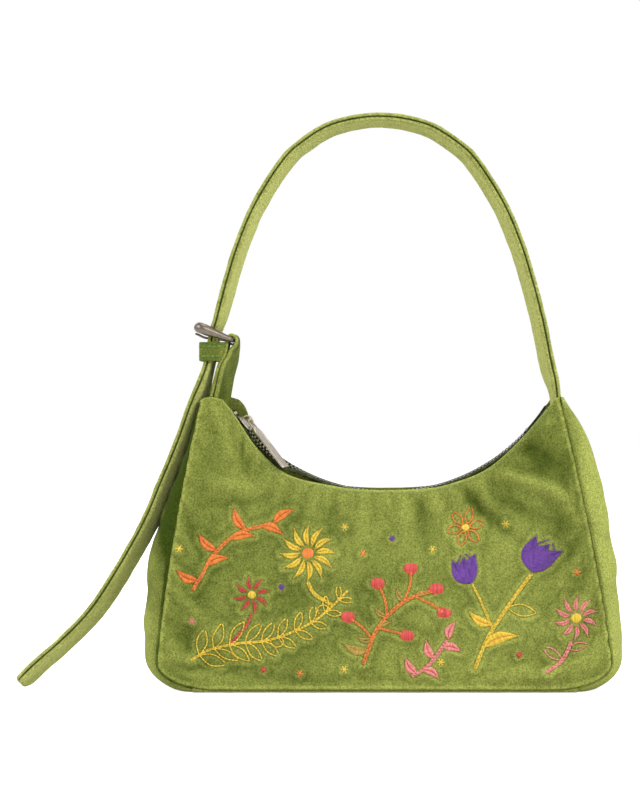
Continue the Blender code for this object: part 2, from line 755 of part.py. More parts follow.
def make_prong(group, material):
    """Prong: wire wrapped round the heel bar, through the strap's hole and under the end bar."""
    along, below = frame_direction()
    ring = HEEL_RADIUS + GAP + PRONG_RADIUS
    points = []
    for index in range(WRAP_POINTS):
        angle = WRAP_START + WRAP_ANGLE * (1 - index / (WRAP_POINTS - 1))
        points.append(below * ring * math.cos(angle) - along * ring * math.sin(angle))
    end_depth = END_RADIUS + GAP + PRONG_RADIUS
    for reach, depth in PRONG_SHARES:
        points.append(along * FRAME_LENGTH * reach + below * end_depth * depth)
    points.append(along * FRAME_LENGTH + below * end_depth)
    points.append(along * (FRAME_LENGTH + PRONG_RADIUS + PRONG_OVERHANG) + below * end_depth)
    prong = wire("buckle_prong", points, [PRONG_RADIUS] * len(points), group, material)
    prong.location = (HEEL_X, 0, HEEL_Z)
    return prong


def make_hole_cutter(cutters):
    """Tall round-ended hole for the prong through both layers of the strap."""
    along, below = frame_direction()
    radius = PRONG_RADIUS + HOLE_CLEARANCE
    depth = (END_RADIUS + GAP + PRONG_RADIUS) * HOLE_BELOW_SHARE
    centre = Vector((HEEL_X, 0, HEEL_Z)) + along * FRAME_LENGTH * HOLE_ALONG_SHARE + below * depth
    bpy.ops.mesh.primitive_cylinder_add(vertices=ROUND_SIDES, radius=radius, depth=FRAME_LENGTH,
                                        location=centre, rotation=(0, math.pi / 2, 0))
    cutter = bpy.context.active_object
    cutter.name = "strap_hole_cutter"
    for owner in list(cutter.users_collection):
        owner.objects.unlink(cutter)
    cutters.objects.link(cutter)
    for vert in cutter.data.vertices:
        vert.co.x *= HOLE_RISE / radius
    return cutter


def make_tab(group, cutters, material):
    """Tab: outline of the folded velvet with a hole for the heel bar, slotted for the prong."""
    outline = []
    for index in range(CORNER_STEPS * 2 + 1):
        angle = math.pi * index / (CORNER_STEPS * 2)
        outline.append((HEEL_X + TAB_WRAP * math.cos(angle), HEEL_Z + TAB_WRAP * math.sin(angle)))
    rise = HEEL_Z - TAB_FOOT
    left = HEEL_X - TAB_WRAP
    right = HEEL_X + TAB_WRAP
    for up, across in TAB_OUTER_SHARES:
        outline.append((left + across * TAB_REACH, TAB_FOOT + rise * up))
    for up, across in TAB_INNER_SHARES:
        outline.append((right + (across - TAB_INNER_SHARES[-1][1]) * TAB_REACH, TAB_FOOT + rise * up))
    bore = HEEL_RADIUS + GAP
    hole = []
    for index in range(ROUND_SIDES):
        angle = 2 * math.pi * index / ROUND_SIDES
        hole.append((HEEL_X + bore * math.cos(angle), HEEL_Z + bore * math.sin(angle)))
    upright = Matrix.Rotation(math.pi / 2, 4, "X")
    tab = prism("buckle_tab", [outline, hole], TAB_WIDTH, group, material, upright)
    move_origin(tab, (0, 0, 0))
    for vert in tab.data.vertices:
        share = smooth((vert.co.z - TAB_FOOT - TAB_TAPER_RISE) / TAB_TAPER)
        vert.co.y *= mix(TAB_ROOT_WIDTH / TAB_WIDTH, 1.0, share)
    slot = prism("tab_slot_cutter",
                 [rounded_rectangle(left - OVERRUN, right + OVERRUN, HEEL_Z - TAB_SLOT_DEPTH,
                                    HEEL_Z + TAB_WRAP + OVERRUN, TAB_SLOT_WIDTH * HALF)],
                 TAB_SLOT_WIDTH, cutters, None, upright)
    add_boolean(tab, slot, "DIFFERENCE")
    return tab


def make_keeper(group, material):
    """Keeper: a loop round the strap, its inner side slanted along the tab."""
    outer = rounded_rectangle(KEEPER_LEFT, KEEPER_RIGHT, -KEEPER_HALF_WIDTH, KEEPER_HALF_WIDTH, KEEPER_ROUND)
    inner = rounded_rectangle(KEEPER_LEFT + KEEPER_WALL, KEEPER_RIGHT - KEEPER_WALL,
                              -KEEPER_HALF_WIDTH + KEEPER_WALL, KEEPER_HALF_WIDTH - KEEPER_WALL,
                              KEEPER_ROUND - KEEPER_WALL)
    middle = (KEEPER_TOP + KEEPER_BASE) * HALF
    keeper = prism("keeper_loop", [outer, inner], KEEPER_TOP - KEEPER_BASE, group, material,
                   Matrix.Translation((0, 0, middle)))
    move_origin(keeper, (0, 0, 0))
    for vert in keeper.data.vertices:
        inward = (vert.co.x - KEEPER_LEFT) / (KEEPER_RIGHT - KEEPER_LEFT)
        below = (KEEPER_TOP - vert.co.z) / (KEEPER_TOP - KEEPER_BASE)
        vert.co.x -= KEEPER_SLANT * inward * below
    return keeper


def make_shell(group, velvet, foam, lining, board):
    """Panels, gussets, interlining, lining, board and pocket."""
    lining_inset = VELVET + FOAM + GAP + GAP
    lining_top = PANEL_ROW_SHARES[-2]
    within_tips = PANEL_SHARES[-2]
    for side, word in ((-1, "front"), (1, "back")):
        panel_layer(word + "_panel", side, 0, VELVET, group, velvet)
        panel_layer(word + "_foam", side, VELVET + GAP, FOAM, group, foam, within_tips, (0.0, lining_top))
        panel_layer(word + "_lining", side, lining_inset, LINING, group, lining, 1.0, (0.0, lining_top))
    panel_layer("inner_pocket", 1, lining_inset + LINING + GAP, LINING, group, lining, POCKET_ACROSS_SHARE,
                POCKET_UP_SHARES)
    narrower = lining_inset + LINING + GAP
    rows = len(SIDE_PATH) - 1
    for side, word, shares in ((-1, "left", PRESSED_SHARES), (1, "right", BULGE_SHARES)):
        gusset_layer("side_gusset_" + word, side, 0, VELVET, 0, shares, rows, group, velvet)
        gusset_layer("gusset_lining_" + word, side, VELVET + GAP, LINING, narrower, shares, rows - 1, group,
                     lining)
    base_sheet("base_gusset", 0, 0, VELVET, SEAM_GAP, group, velvet, True)
    base_sheet("base_board", BOARD_EDGE, VELVET + GAP, BOARD, BOARD_END, group, board, False)
    base_sheet("base_lining", narrower, VELVET + BOARD + GAP + GAP, LINING, LINING_END, group, lining,
               False)


def make_zip(group, cutters, tape, metal, bright):
    """Tapes, teeth, stops, slider and pull."""
    teeth_far = TEETH_SPLIT + TEETH_WIDTH
    tape_near = teeth_far + GAP
    tape_far = MOUTH_HALF_DEPTH - VELVET - GAP
    for side, word in ((-1, "front"), (1, "back")):
        zip_strip("zip_tape_" + word, side, tape_near, tape_far, TAPE_THICKNESS, TAPE_START, TAPE_END,
                  ZIP_ROWS, group, tape)
        zip_strip("zip_teeth_" + word, side, TEETH_SPLIT, teeth_far, TEETH_THICKNESS, ZIP_START, ZIP_END,
                  ZIP_ROWS, group, metal)
    stop_turn = STOP_LENGTH / ZIP_RADIUS
    gap_turn = GAP / ZIP_RADIUS
    zip_strip("zip_bottom_stop", 1, -teeth_far, teeth_far, STOP_THICKNESS, ZIP_END + gap_turn,
              ZIP_END + gap_turn + stop_turn, STOP_ROWS, group, metal)
    for side, word in ((-1, "front"), (1, "back")):
        zip_strip("zip_top_stop_" + word, side, TEETH_SPLIT, teeth_far, STOP_THICKNESS,
                  ZIP_START - gap_turn - stop_turn, ZIP_START - gap_turn, STOP_ROWS, group, bright)
    axis = axis_empty("zip_run_axis", (ZIP_CENTRE_X, 0, ZIP_CENTRE_Z), group)
    slider = make_slider(group, cutters, bright)
    carry(slider, axis)
    swing = axis_empty("pull_swing_axis", pull_matrix().translation, group)
    carry(swing, axis)
    pull = make_pull(group, bright)
    carry(pull, swing)


def make_strap(group, cutters, velvet):
    """Tail, length through the buckle, arch between two bends, and right root, each of two layers."""
    exit_length = length_at_height(KEEPER_BASE)
    below_fold = FOLD_HEIGHT - BEND_HALF_LENGTH
    above_fold = FOLD_HEIGHT + BEND_HALF_LENGTH
    left_low = length_at_height(below_fold)
    left_high = length_at_height(above_fold)
    right_high = length_at_height(above_fold, left=False)
    right_low = length_at_height(below_fold, left=False)
    split = GAP * HALF
    total = ROUTE[-1][0]
    hole = make_hole_cutter(cutters)
    fold_point = (0, 0, FOLD_HEIGHT)
    keeper_point = (KEEPER_X, 0, KEEPER_BASE)
    fold_axis = axis_empty("strap_fold_axis", fold_point, group)
    tail_axis = axis_empty("tail_swing_axis", keeper_point, group)
    for layer, word in ((0, "outer"), (1, "inner")):
        tail = strap_layer("tail_" + word, 0, exit_length - GAP - GAP, TAIL_ROWS, layer, group, velvet,
                           keeper_point)
        carry(tail, tail_axis)
        end = strap_layer("strap_end_" + word, exit_length, left_low - split, STUB_ROWS, layer, group,
                          velvet, (0, 0, 0))
        add_boolean(end, hole, "DIFFERENCE")
        strap_layer("strap_bend_left_" + word, left_low + split, left_high - split, STUB_ROWS, layer, group,
                    velvet, (0, 0, 0))
        arch = strap_layer("strap_" + word, left_high + split, right_high - split, ARCH_ROWS, layer, group,
                           velvet, fold_point)
        carry(arch, fold_axis)
        strap_layer("strap_bend_right_" + word, right_high + split, right_low - split, STUB_ROWS, layer,
                    group, velvet, (0, 0, 0))
        strap_layer("strap_root_" + word, right_low + split, total, STUB_ROWS, layer, group, velvet,
                    (0, 0, 0))


def make_buckle(group, cutters, velvet, dark_metal):
    """Tab, frame, prong and keeper."""
    make_tab(group, cutters, velvet)
    make_keeper(group, velvet)
    tilt_axis = axis_empty("buckle_tilt_axis", (HEEL_X, 0, HEEL_Z), group)
    carry(make_frame(group, dark_metal), tilt_axis)
    carry(make_prong(group, dark_metal), tilt_axis)


def main():
    """Build the bag."""
    clear_scene()
    group = make_collection("mini_bag")
    cutters = make_collection("cutters")
    velvet = make_material("olive_velvet", (0.18, 0.22, 0.04), 0.85)
    foam = make_material("foam_interlining", (0.75, 0.74, 0.7), 0.95)
    lining = make_material("cotton_lining", (0.3, 0.32, 0.12), 0.9)
    board = make_material("base_board", (0.3, 0.24, 0.16), 0.8)
    tape = make_material("zip_tape", (0.05, 0.07, 0.03), 0.8)
    metal = make_material("dark_teeth", (0.12, 0.11, 0.09), 0.4, 1.0)
    bright = make_material("champagne_metal", (0.8, 0.74, 0.6), 0.3, 1.0)
    dark_metal = make_material("gunmetal", (0.14, 0.12, 0.11), 0.3, 1.0)
    make_shell(group, velvet, foam, lining, board)
    make_zip(group, cutters, tape, metal, bright)
    make_strap(group, cutters, velvet)
    make_buckle(group, cutters, velvet, dark_metal)


main()
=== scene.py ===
"""Looks of the velvet shoulder bag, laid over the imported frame."""

import random
from bisect import bisect_right
from math import acos, asin, atan2, copysign, cos, degrees, exp, hypot, pi, radians, sin, sqrt, tan, tanh

import bmesh
import bpy
import numpy as np
from mathutils import Matrix, Vector, kdtree, noise


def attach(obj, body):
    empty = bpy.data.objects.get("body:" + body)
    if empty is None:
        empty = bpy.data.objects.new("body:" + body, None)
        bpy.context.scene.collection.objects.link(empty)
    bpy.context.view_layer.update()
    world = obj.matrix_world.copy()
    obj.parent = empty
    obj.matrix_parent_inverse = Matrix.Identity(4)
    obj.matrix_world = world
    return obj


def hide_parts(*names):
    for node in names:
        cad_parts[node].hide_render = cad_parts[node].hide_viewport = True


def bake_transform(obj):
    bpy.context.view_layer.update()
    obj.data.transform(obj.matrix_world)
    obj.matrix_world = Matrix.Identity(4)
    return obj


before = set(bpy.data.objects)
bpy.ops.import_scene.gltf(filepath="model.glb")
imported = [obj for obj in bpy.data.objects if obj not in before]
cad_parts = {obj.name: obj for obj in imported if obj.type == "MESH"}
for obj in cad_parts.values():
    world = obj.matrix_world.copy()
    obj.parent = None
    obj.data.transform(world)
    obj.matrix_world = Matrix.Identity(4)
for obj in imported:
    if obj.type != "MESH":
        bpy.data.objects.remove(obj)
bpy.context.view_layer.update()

MM = 0.001

# The part's own sizes, in millimetres.
BASE_HALF, TIP_HALF, TIP_HEIGHT, TIP_LEAN, SIDE_CURVE = 124.5, 99.0, 160.5, 2.7, 1.35
CORNER_W, CORNER_H, CORNER_FADE, SEAM_LIFT = 34.0, 16.0, 92.5, 1.5
BASE_DEPTH, MOUTH_DEPTH, TIP_DEPTH, DEPTH_CURVE = 31.0, 6.5, 10.0, 1.7
GAP, SEAM_GAP, VELVET, FOAM, LINING = 0.3, 0.12, 1.2, 1.5, 0.6
BULGE = 13.2
BULGE_FREE = ((0.0, 0.5), (0.2, 0.7), (0.4, 0.92), (0.6, 1.0), (0.75, 0.95))
BULGE_PRESSED = ((0.0, 0.5), (0.16, 0.76), (0.25, 0.87), (0.33, 0.95), (0.41, 1.0), (0.5, 0.97), (0.58, 0.86),
                 (0.66, 0.62), (0.75, 0.34), (0.85, 0.12), (0.93, 0.05), (1.0, 0.02))
CROSS_ANGLE = radians(24)
ZIP_R, ZIP_X, ZIP_Z, ZIP_TILT = 104.9, 1.7, 212.4, 9
TOOTH_REACH, TAPE_LEAN = 2.3, radians(4)
ZIP_START, ZIP_END = radians(-53.6), radians(47)
TAPE_START, TAPE_END = radians(-55.5), radians(57)
SLIDER_AT = radians(-50)
TAPE_HALF, TOOTH_HALF, SLIDER_PLATE, BRIDGE_WIRE = 0.3, 0.8, 0.9, 0.5
BRIDGE_HALF, BRIDGE_RISE, BRIDGE_INSIDE = 3.2, 4.7, 2.9
PULL_LIFT, PULL_TURN, PULL_ROLL = radians(-1.6), radians(-12), radians(6)
PULL_HALF = 0.55
SETTLE_FRAMES, SETTLE_CAP = 20, 3.5
# Distance of each mouth edge from the zip's centre, by angle in degrees.
FRONT_MOUTH = ((-60, 104.6), (-52, 105.2), (-45, 107.6), (-40, 108.9), (-35, 109.9), (-31, 109.6), (-26, 108.2),
               (-20, 106.2), (-14, 105.0), (-8, 104.0), (0, 103.4), (5, 103.6), (10, 104.3), (16, 105.4),
               (22, 105.9), (28, 106.6), (33, 106.6), (40, 105.6), (45, 105.1), (50, 104.8), (60, 105.2))
BACK_MOUTH = ((-60, 98.8), (-57.5, 97.9), (-55, 97.8), (-52.5, 98.9), (-50, 100.4), (-46, 101.8), (-40, 103.3),
              (-34, 104.3), (-28, 104.9), (-20, 104.8), (-13, 104.0), (-7, 103.0), (0, 102.4), (7, 102.9),
              (14, 104.0), (22, 104.8), (32, 105.2), (40, 105.2), (46, 104.9), (52, 104.5), (60, 104.3))
STRAP_HALF, LAYER, GROOVE, STRAP_STEP = 10.0, 2.1, 0.3, 1.6
STRAP_X, SPAN, RISE, ROOT_Z = -3.0, 100.5, 153.2, 164.3
ROOT_NARROW, ROOT_TAPER, ROOT_END, TAIL_FORWARD, TAIL_END = 0.76, 7.7, 152.0, 15, 6.4
KEEPER_X, KEEPER_LOW, KEEPER_HIGH = -100.0, 180.2, 190.7
KEEPER_SLANT, KEEPER_LEFT, KEEPER_RIGHT, KEEPER_DEPTH = 2.6, -102.4, -87.4, 12.4
KEEPER_SEAMS = (188.4, 182.9)
HEEL_X, HEEL_Z, FRAME_LEN, FRAME_ANGLE = -84.5, 192.0, 19.0, radians(159.1)
FRAME_HALF, HEEL_WIRE, END_WIRE = 12.4, 1.35, 3.1
WIRE = 0.65
ARCH = ((0.918, 0.253), (0.861, 0.397), (0.792, 0.541), (0.697, 0.684), (0.559, 0.827), (0.45, 0.899),
        (0.264, 0.971))
FLANK = ((0.962, 0.109), (0.998, 0.0))
TAIL = ((0.9854, 0.0), (0.8662, 0.059), (0.7297, 0.12), (0.6084, 0.182), (0.5063, 0.25), (0.3818, 0.372),
        (0.277, 0.5), (0.2134, 0.624), (0.1556, 0.748), (0.1152, 0.875), (0.0563, 0.943))

# Folds of the front and back: centre x, z, direction in degrees, half length, half width, height.
FOLD_GAIN, FOLD_LENGTH, FOLD_WIDTH = 1.2, 1.4, 0.9
FRONT_FOLDS = ((64, 118, -12, 15, 4.5, 1.6), (86, 112, -22, 17, 4.5, 2.4), (100, 99, -50, 12, 5.0, 1.7),
               (86, 127, -34, 22, 7.0, -2.6), (56, 96, -40, 16, 5.0, -2.4), (46, 106, -62, 12, 4.5, -1.5),
               (30, 102, -74, 13, 4.5, 1.5), (19, 99, -84, 14, 4.5, -1.6), (9, 102, 88, 14, 4.5, 1.0),
               (72, 100, -24, 18, 4.5, -1.8), (98, 84, -64, 13, 5.0, -1.5), (108, 118, 74, 15, 4.0, 1.2),
               (-113, 85, 78, 15, 4.0, -2.0), (-104, 80, 80, 18, 5.0, 1.3), (-84, 114, -4, 15, 5.0, 1.5),
               (-80, 104, 2, 17, 4.5, -1.4), (-88, 138, -70, 12, 5.0, 1.4), (-74, 126, -52, 15, 4.5, -1.4),
               (-40, 104, 70, 13, 5.0, 1.1), (-29, 101, 78, 12, 4.5, -1.2), (-14, 100, 86, 12, 5.0, 0.9),
               (-60, 66, 14, 36, 11.0, 1.3), (-28, 46, -10, 30, 11.0, -1.1), (36, 40, -8, 42, 11.0, 1.2),
               (76, 66, 26, 26, 9.0, -1.1), (106, 54, 66, 20, 8.0, 1.4), (-98, 34, 60, 22, 9.0, 1.1),
               (-108, 14, 10, 16, 5.0, -1.2), (4, 74, 4, 40, 10.0, 0.9))
BACK_FOLDS = ((-86, 108, 16, 20, 6.0, 1.6), (70, 110, -24, 18, 6.0, 1.4), (-20, 84, -8, 24, 8.0, -1.2),
              (30, 50, 10, 34, 11.0, 1.0), (-100, 60, 100, 18, 6.0, -1.3), (106, 78, 76, 16, 5.0, -1.3),
              (84, 130, 68, 12, 5.0, -1.2))


# Small mathematics.

def clamp(value):
    return min(max(value, 0.0), 1.0)


def ease(value):
    value = clamp(value)
    return value * value * (3 - 2 * value)


def mix(a, b, t):
    return a + (b - a) * t


def table(pairs, place, soft=True):
    """Value between the pairs, with soft steps or straight ones."""
    for (x0, y0), (x1, y1) in zip(pairs, pairs[1:]):
        if place <= x1:
            share = (place - x0) / (x1 - x0)
            return mix(y0, y1, ease(share) if soft else share)
    return pairs[-1][1]


def smooth_table(pairs, place):
    """Catmull-Rom through the pairs."""
    i = min(max(bisect_right([p[0] for p in pairs], place) - 1, 0), len(pairs) - 2)
    t = clamp((place - pairs[i][0]) / (pairs[i + 1][0] - pairs[i][0]))
    return spline([(pairs[max(i - 1, 0)][1],), (pairs[i][1],), (pairs[i + 1][1],),
                   (pairs[min(i + 2, len(pairs) - 1)][1],)], (1 + t) / 3)[0]


def heading(angle):
    return cos(radians(angle)), sin(radians(angle))


def spline(points, share):
    place = share * (len(points) - 1)
    i = min(int(place), len(points) - 2)
    t = place - i
    before, after = points[max(i - 1, 0)], points[min(i + 2, len(points) - 1)]
    return [0.5 * (2 * b + (c - a) * t + (2 * a - 5 * b + 4 * c - d) * t * t + (3 * b - a - 3 * c + d) * t ** 3)
            for a, b, c, d in zip(before, points[i], points[i + 1], after)]


def ripple(x, y, z, size, seed=0.0):
    """Smooth noise from -1 to 1, with features of that many millimetres."""
    return noise.noise(Vector((x / size + seed, y / size - seed, z / size + 2 * seed)))


def fold_sum(folds, x, z):
    total = 0.0
    for fx, fz, angle, long_half, short_half, height in folds:
        c, s = heading(angle)
        dx, dz = x - fx, z - fz
        along, across = (dx * c + dz * s) / (FOLD_LENGTH * long_half), (dz * c - dx * s) / (FOLD_WIDTH * short_half)
        reach = along * along + across * across
        if reach < 9:
            total += FOLD_GAIN * height * exp(-reach * 1.1)
    return total


# Mesh helpers.

def put(name, data):
    """A new object in the scene."""
    item = bpy.data.objects.new(name, data)
    bpy.context.scene.collection.objects.link(item)
    return item


def link(name, mesh, material):
    if material:
        mesh.materials.append(material)
    return put(name, mesh)


def solid(name, verts, faces, material, outward=True):
    """An object from points in millimetres."""
    mesh = bpy.data.meshes.new(name)
    mesh.from_pydata([(x * MM, y * MM, z * MM) for x, y, z in verts], [], faces)
    if outward:
        body = bmesh.new()
        body.from_mesh(mesh)
        bmesh.ops.recalc_face_normals(body, faces=body.faces[:])
        if body.calc_volume(signed=True) < 0:
            bmesh.ops.reverse_faces(body, faces=body.faces[:])
        body.to_mesh(mesh)
        body.free()
    mesh.shade_smooth()
    return link(name, mesh, material)


def sheet_solid(name, columns, rows, outer, inner, material):
    """A sheet with thickness between two surfaces over one grid."""
    verts = [outer(c, r) for r in rows for c in columns] + [inner(c, r) for r in rows for c in columns]
    n, m = len(columns), len(rows)
    back = n * m
    faces = []
    for a in (j * n + i for j in range(m - 1) for i in range(n - 1)):
        faces.append((a, a + 1, a + n + 1, a + n))
        faces.append((back + a, back + a + n, back + a + n + 1, back + a + 1))
    faces.extend((a, a + n, back + a + n, back + a) for a in (j * n + i for j in range(m - 1) for i in (0, n - 1)))
    faces.extend((a, a + 1, back + a + 1, back + a) for a in (j * n + i for i in range(n - 1) for j in (0, m - 1)))
    return solid(name, verts, faces, material)


def loft(name, rings, material, closed=False):
    """Rings of points joined into one skin."""
    count = len(rings[0])
    verts = [point for ring in rings for point in ring]
    faces = []
    total = len(rings)
    for j in range(total if closed else total - 1):
        k = (j + 1) % total
        for i in range(count):
            h = (i + 1) % count
            faces.append((j * count + i, j * count + h, k * count + h, k * count + i))
    if not closed:
        faces.append(tuple(range(count)))
        faces.append(tuple(range((total - 1) * count, total * count)))
    return solid(name, verts, faces, material)


def tube(name, points, radii, material, sides=12, closed=False):
    """A round bar along points, with a steady frame."""
    places = [Vector(p) for p in points]
    total = len(places)
    rings = []
    side = None
    for i, place in enumerate(places):
        if closed:
            ahead = (places[(i + 1) % total] - places[i - 1]).normalized()
        else:
            ahead = (places[min(i + 1, total - 1)] - places[max(i - 1, 0)]).normalized()
        if side is None:
            side = ahead.orthogonal().normalized()
        side = (side - ahead * side.dot(ahead)).normalized()
        other = ahead.cross(side)
        rings.append([place + (side * cos(a) + other * sin(a)) * radii[i]
                      for a in (2 * pi * k / sides for k in range(sides))])
    if not closed:
        for end, inward in ((0, 1), (-1, -1)):
            ahead = (places[end] - places[end + inward]).normalized()
            centre, radius = places[end], radii[end]
            edge = rings[end]
            for lift, shrink in ((0.35, 0.9), (0.62, 0.54)):
                ring = [centre + ahead * radius * lift + (p - centre) * shrink for p in edge]
                rings.insert(0 if end == 0 else len(rings), ring)
    return loft(name, rings, material, closed=closed)


def plate(name, outlines, thickness, bevel, matrix, material, steps=3):
    """A flat plate with holes and rounded rims; outlines in millimetres."""
    curve = bpy.data.curves.new(name, "CURVE")
    curve.dimensions, curve.fill_mode = "2D", "BOTH"
    curve.extrude = (thickness * 0.5 - bevel) * MM
    curve.bevel_depth, curve.bevel_resolution, curve.offset = bevel * MM, steps, -bevel * MM
    for outline in outlines:
        line = curve.splines.new("POLY")
        line.points.add(len(outline) - 1)
        for point, (x, y) in zip(line.points, outline):
            point.co = (x * MM, y * MM, 0, 1)
        line.use_cyclic_u = True
    guide = put(name + "_guide", curve)
    bpy.context.view_layer.update()
    mesh = bpy.data.meshes.new_from_object(guide.evaluated_get(bpy.context.evaluated_depsgraph_get()))
    bpy.data.objects.remove(guide, do_unlink=True)
    bpy.data.curves.remove(curve)
    body = bmesh.new()
    body.from_mesh(mesh)
    bmesh.ops.remove_doubles(body, verts=body.verts[:], dist=0.000002)
    bmesh.ops.recalc_face_normals(body, faces=body.faces[:])
    body.to_mesh(mesh)
    body.free()
    mesh.name = name
    mesh.materials.clear()
    mesh.transform(matrix)
    mesh.shade_smooth()
    mesh.set_sharp_from_angle(angle=radians(40))
    return link(name, mesh, material)


def join(name, pieces):
    """Several objects made one."""
    body = bmesh.new()
    for piece in pieces:
        piece.data.transform(piece.matrix_world)
        body.from_mesh(piece.data)
    mesh = bpy.data.meshes.new(name)
    body.to_mesh(mesh)
    body.free()
    material = pieces[0].data.materials[0]
    for piece in pieces:
        bpy.data.objects.remove(piece, do_unlink=True)
    return link(name, mesh, material)


def stretched(outline, gap, parts):
    """The outline with its long edges divided."""
    dense = []
    for (x0, y0), (x1, y1) in zip(outline, outline[1:] + outline[:1]):
        count = parts if hypot(x1 - x0, y1 - y0) > gap else 1
        dense.extend((mix(x0, x1, k / count), mix(y0, y1, k / count)) for k in range(count))
    return dense


def rounded(x0, x1, y0, y1, radius, steps=6):
    points = []
    for cx, cy, quarter in ((x1 - radius, y1 - radius, 0), (x0 + radius, y1 - radius, 1),
                            (x0 + radius, y0 + radius, 2), (x1 - radius, y0 + radius, 3)):
        for k in range(steps + 1):
            angle = (quarter + k / steps) * pi / 2
            points.append((cx + radius * cos(angle), cy + radius * sin(angle)))
    return points


# Materials.

class Nodes:
    """Short words for building a node tree."""

    def __init__(self, name):
        self.material = bpy.data.materials.new(name)
        self.material.use_nodes = True
        self.tree = self.material.node_tree
        self.shader = self.tree.nodes["Principled BSDF"]
        self.place = self.add("ShaderNodeTexCoord").outputs["Object"]

    def add(self, kind, **values):
        node = self.tree.nodes.new(kind)
        for key, value in values.items():
            setattr(node, key, value)
        return node

    def join(self, source, target):
        self.tree.links.new(source, target)

    def feed(self, value, socket):
        if isinstance(value, bpy.types.NodeSocket):
            self.join(value, socket)
        else:
            socket.default_value = value

    def stretch(self, scale, turn=(0, 0, 0)):
        node = self.add("ShaderNodeMapping")
        node.inputs["Scale"].default_value = scale
        node.inputs["Rotation"].default_value = turn
        self.join(self.place, node.inputs["Vector"])
        return node.outputs["Vector"]

    def noise(self, scale, detail=2.0, rough=0.5, vector=None):
        node = self.add("ShaderNodeTexNoise")
        node.inputs["Scale"].default_value = scale
        node.inputs["Detail"].default_value = detail
        node.inputs["Roughness"].default_value = rough
        self.join(vector or self.place, node.inputs["Vector"])
        return node.outputs["Fac"]

    def ramp(self, fac, stops):
        node = self.add("ShaderNodeValToRGB")
        while len(node.color_ramp.elements) < len(stops):
            node.color_ramp.elements.new(0.5)
        for element, (place, colour) in zip(node.color_ramp.elements, stops):
            element.position = place
            element.color = (*colour, 1)
        self.join(fac, node.inputs["Fac"])
        return node.outputs["Color"]

    def blend(self, a, b, fac, mode):
        node = self.add("ShaderNodeMix", data_type="RGBA", blend_type=mode)
        for value, socket in ((fac, node.inputs[0]), (a, node.inputs[6]), (b, node.inputs[7])):
            self.feed(value, socket)
        return node.outputs[2]

    def sums(self, operation, a, b):
        node = self.add("ShaderNodeMath", operation=operation)
        for value, socket in ((a, node.inputs[0]), (b, node.inputs[1])):
            self.feed(value, socket)
        return node.outputs[0]

    def bump(self, height, strength, distance):
        node = self.add("ShaderNodeBump")
        node.inputs["Strength"].default_value = strength
        node.inputs["Distance"].default_value = distance
        self.join(height, node.inputs["Height"])
        self.join(node.outputs["Normal"], self.shader.inputs["Normal"])

    def set(self, **values):
        for key, value in values.items():
            self.shader.inputs[key.replace("_", " ")].default_value = value


def velvet(name, dark, light, sheen):
    """Pile with soft patches, a fine grain and sheen at a glance; a per-point attribute adds painted shade in hollows
    and painted light on ridges and lit sides.
    """
    n = Nodes(name)
    patches = n.noise(26, 5, 0.62)
    rubbed = n.noise(120, 3, 0.6)
    pile_and_painted_light = n.noise(1050, 4, 0.9)
    # The attribute holds painted shade in hollows and painted light on ridges and lit faces, per point.
    painted_light_fac = n.add("ShaderNodeAttribute", attribute_name="pile_and_painted_light").outputs["Fac"]
    tone = n.sums("ADD", n.sums("MULTIPLY", patches, 0.36), n.sums("MULTIPLY", rubbed, 0.34))
    tone = n.sums("ADD", tone, n.sums("MULTIPLY", painted_light_fac, 0.5))
    colour = n.ramp(tone, ((0.02, dark), (0.68, light)))
    speck = n.ramp(pile_and_painted_light, ((0.36, (0.42, 0.42, 0.38)), (0.64, (1.58, 1.58, 1.5))))
    n.join(n.blend(colour, speck, 1.0, "MULTIPLY"), n.shader.inputs["Base Color"])
    n.join(n.ramp(pile_and_painted_light, ((0.2, (0.72,) * 3), (0.8, (0.95,) * 3))), n.shader.inputs["Roughness"])
    n.bump(n.sums("ADD", pile_and_painted_light, n.sums("MULTIPLY", rubbed, 0.8)), 0.5, 0.0004)
    n.set(Specular_IOR_Level=0.06, Sheen_Weight=sheen, Sheen_Roughness=0.3, Sheen_Tint=(0.71, 0.8, 0.32, 1))
    return n.material


def cloth(name, dark, light, pitch, sheen=0.15):
    """Plain weave with the given thread pitch in millimetres."""
    n = Nodes(name)
    heights = []
    for turn in ((0, 0, 0), (0, pi / 2, 0)):
        wave = n.add("ShaderNodeTexWave", wave_type="BANDS", bands_direction="X", wave_profile="SIN")
        wave.inputs["Scale"].default_value = 1000 / pitch / 20
        wave.inputs["Distortion"].default_value = 0.6
        n.join(n.stretch((1, 1, 1), turn), wave.inputs["Vector"])
        heights.append(wave.outputs["Fac"])
    weave = n.sums("MULTIPLY", heights[0], heights[1])
    n.join(n.ramp(n.sums("ADD", weave, n.sums("MULTIPLY", n.noise(60, 3), 0.3)), ((0.1, dark), (0.9, light))),
           n.shader.inputs["Base Color"])
    n.bump(weave, 0.5, 0.0002)
    n.set(Roughness=0.85, Specular_IOR_Level=0.12, Sheen_Weight=sheen)
    return n.material


def metal(name, dark, light, rough):
    """Metal with faint brushing and a little tarnish."""
    n = Nodes(name)
    tarnish = n.noise(240, 4, 0.6)
    n.join(n.ramp(tarnish, ((0.3, dark), (0.7, light))), n.shader.inputs["Base Color"])
    brush = n.noise(1, 2, 0.6, n.stretch((500, 500, 4000), (0, 0.9, 0)))
    n.join(n.ramp(brush, ((0.2, (rough * 0.8,) * 3), (0.8, (rough * 1.25,) * 3))), n.shader.inputs["Roughness"])
    n.bump(brush, 0.2, 0.00004)
    n.set(Metallic=1.0)
    return n.material


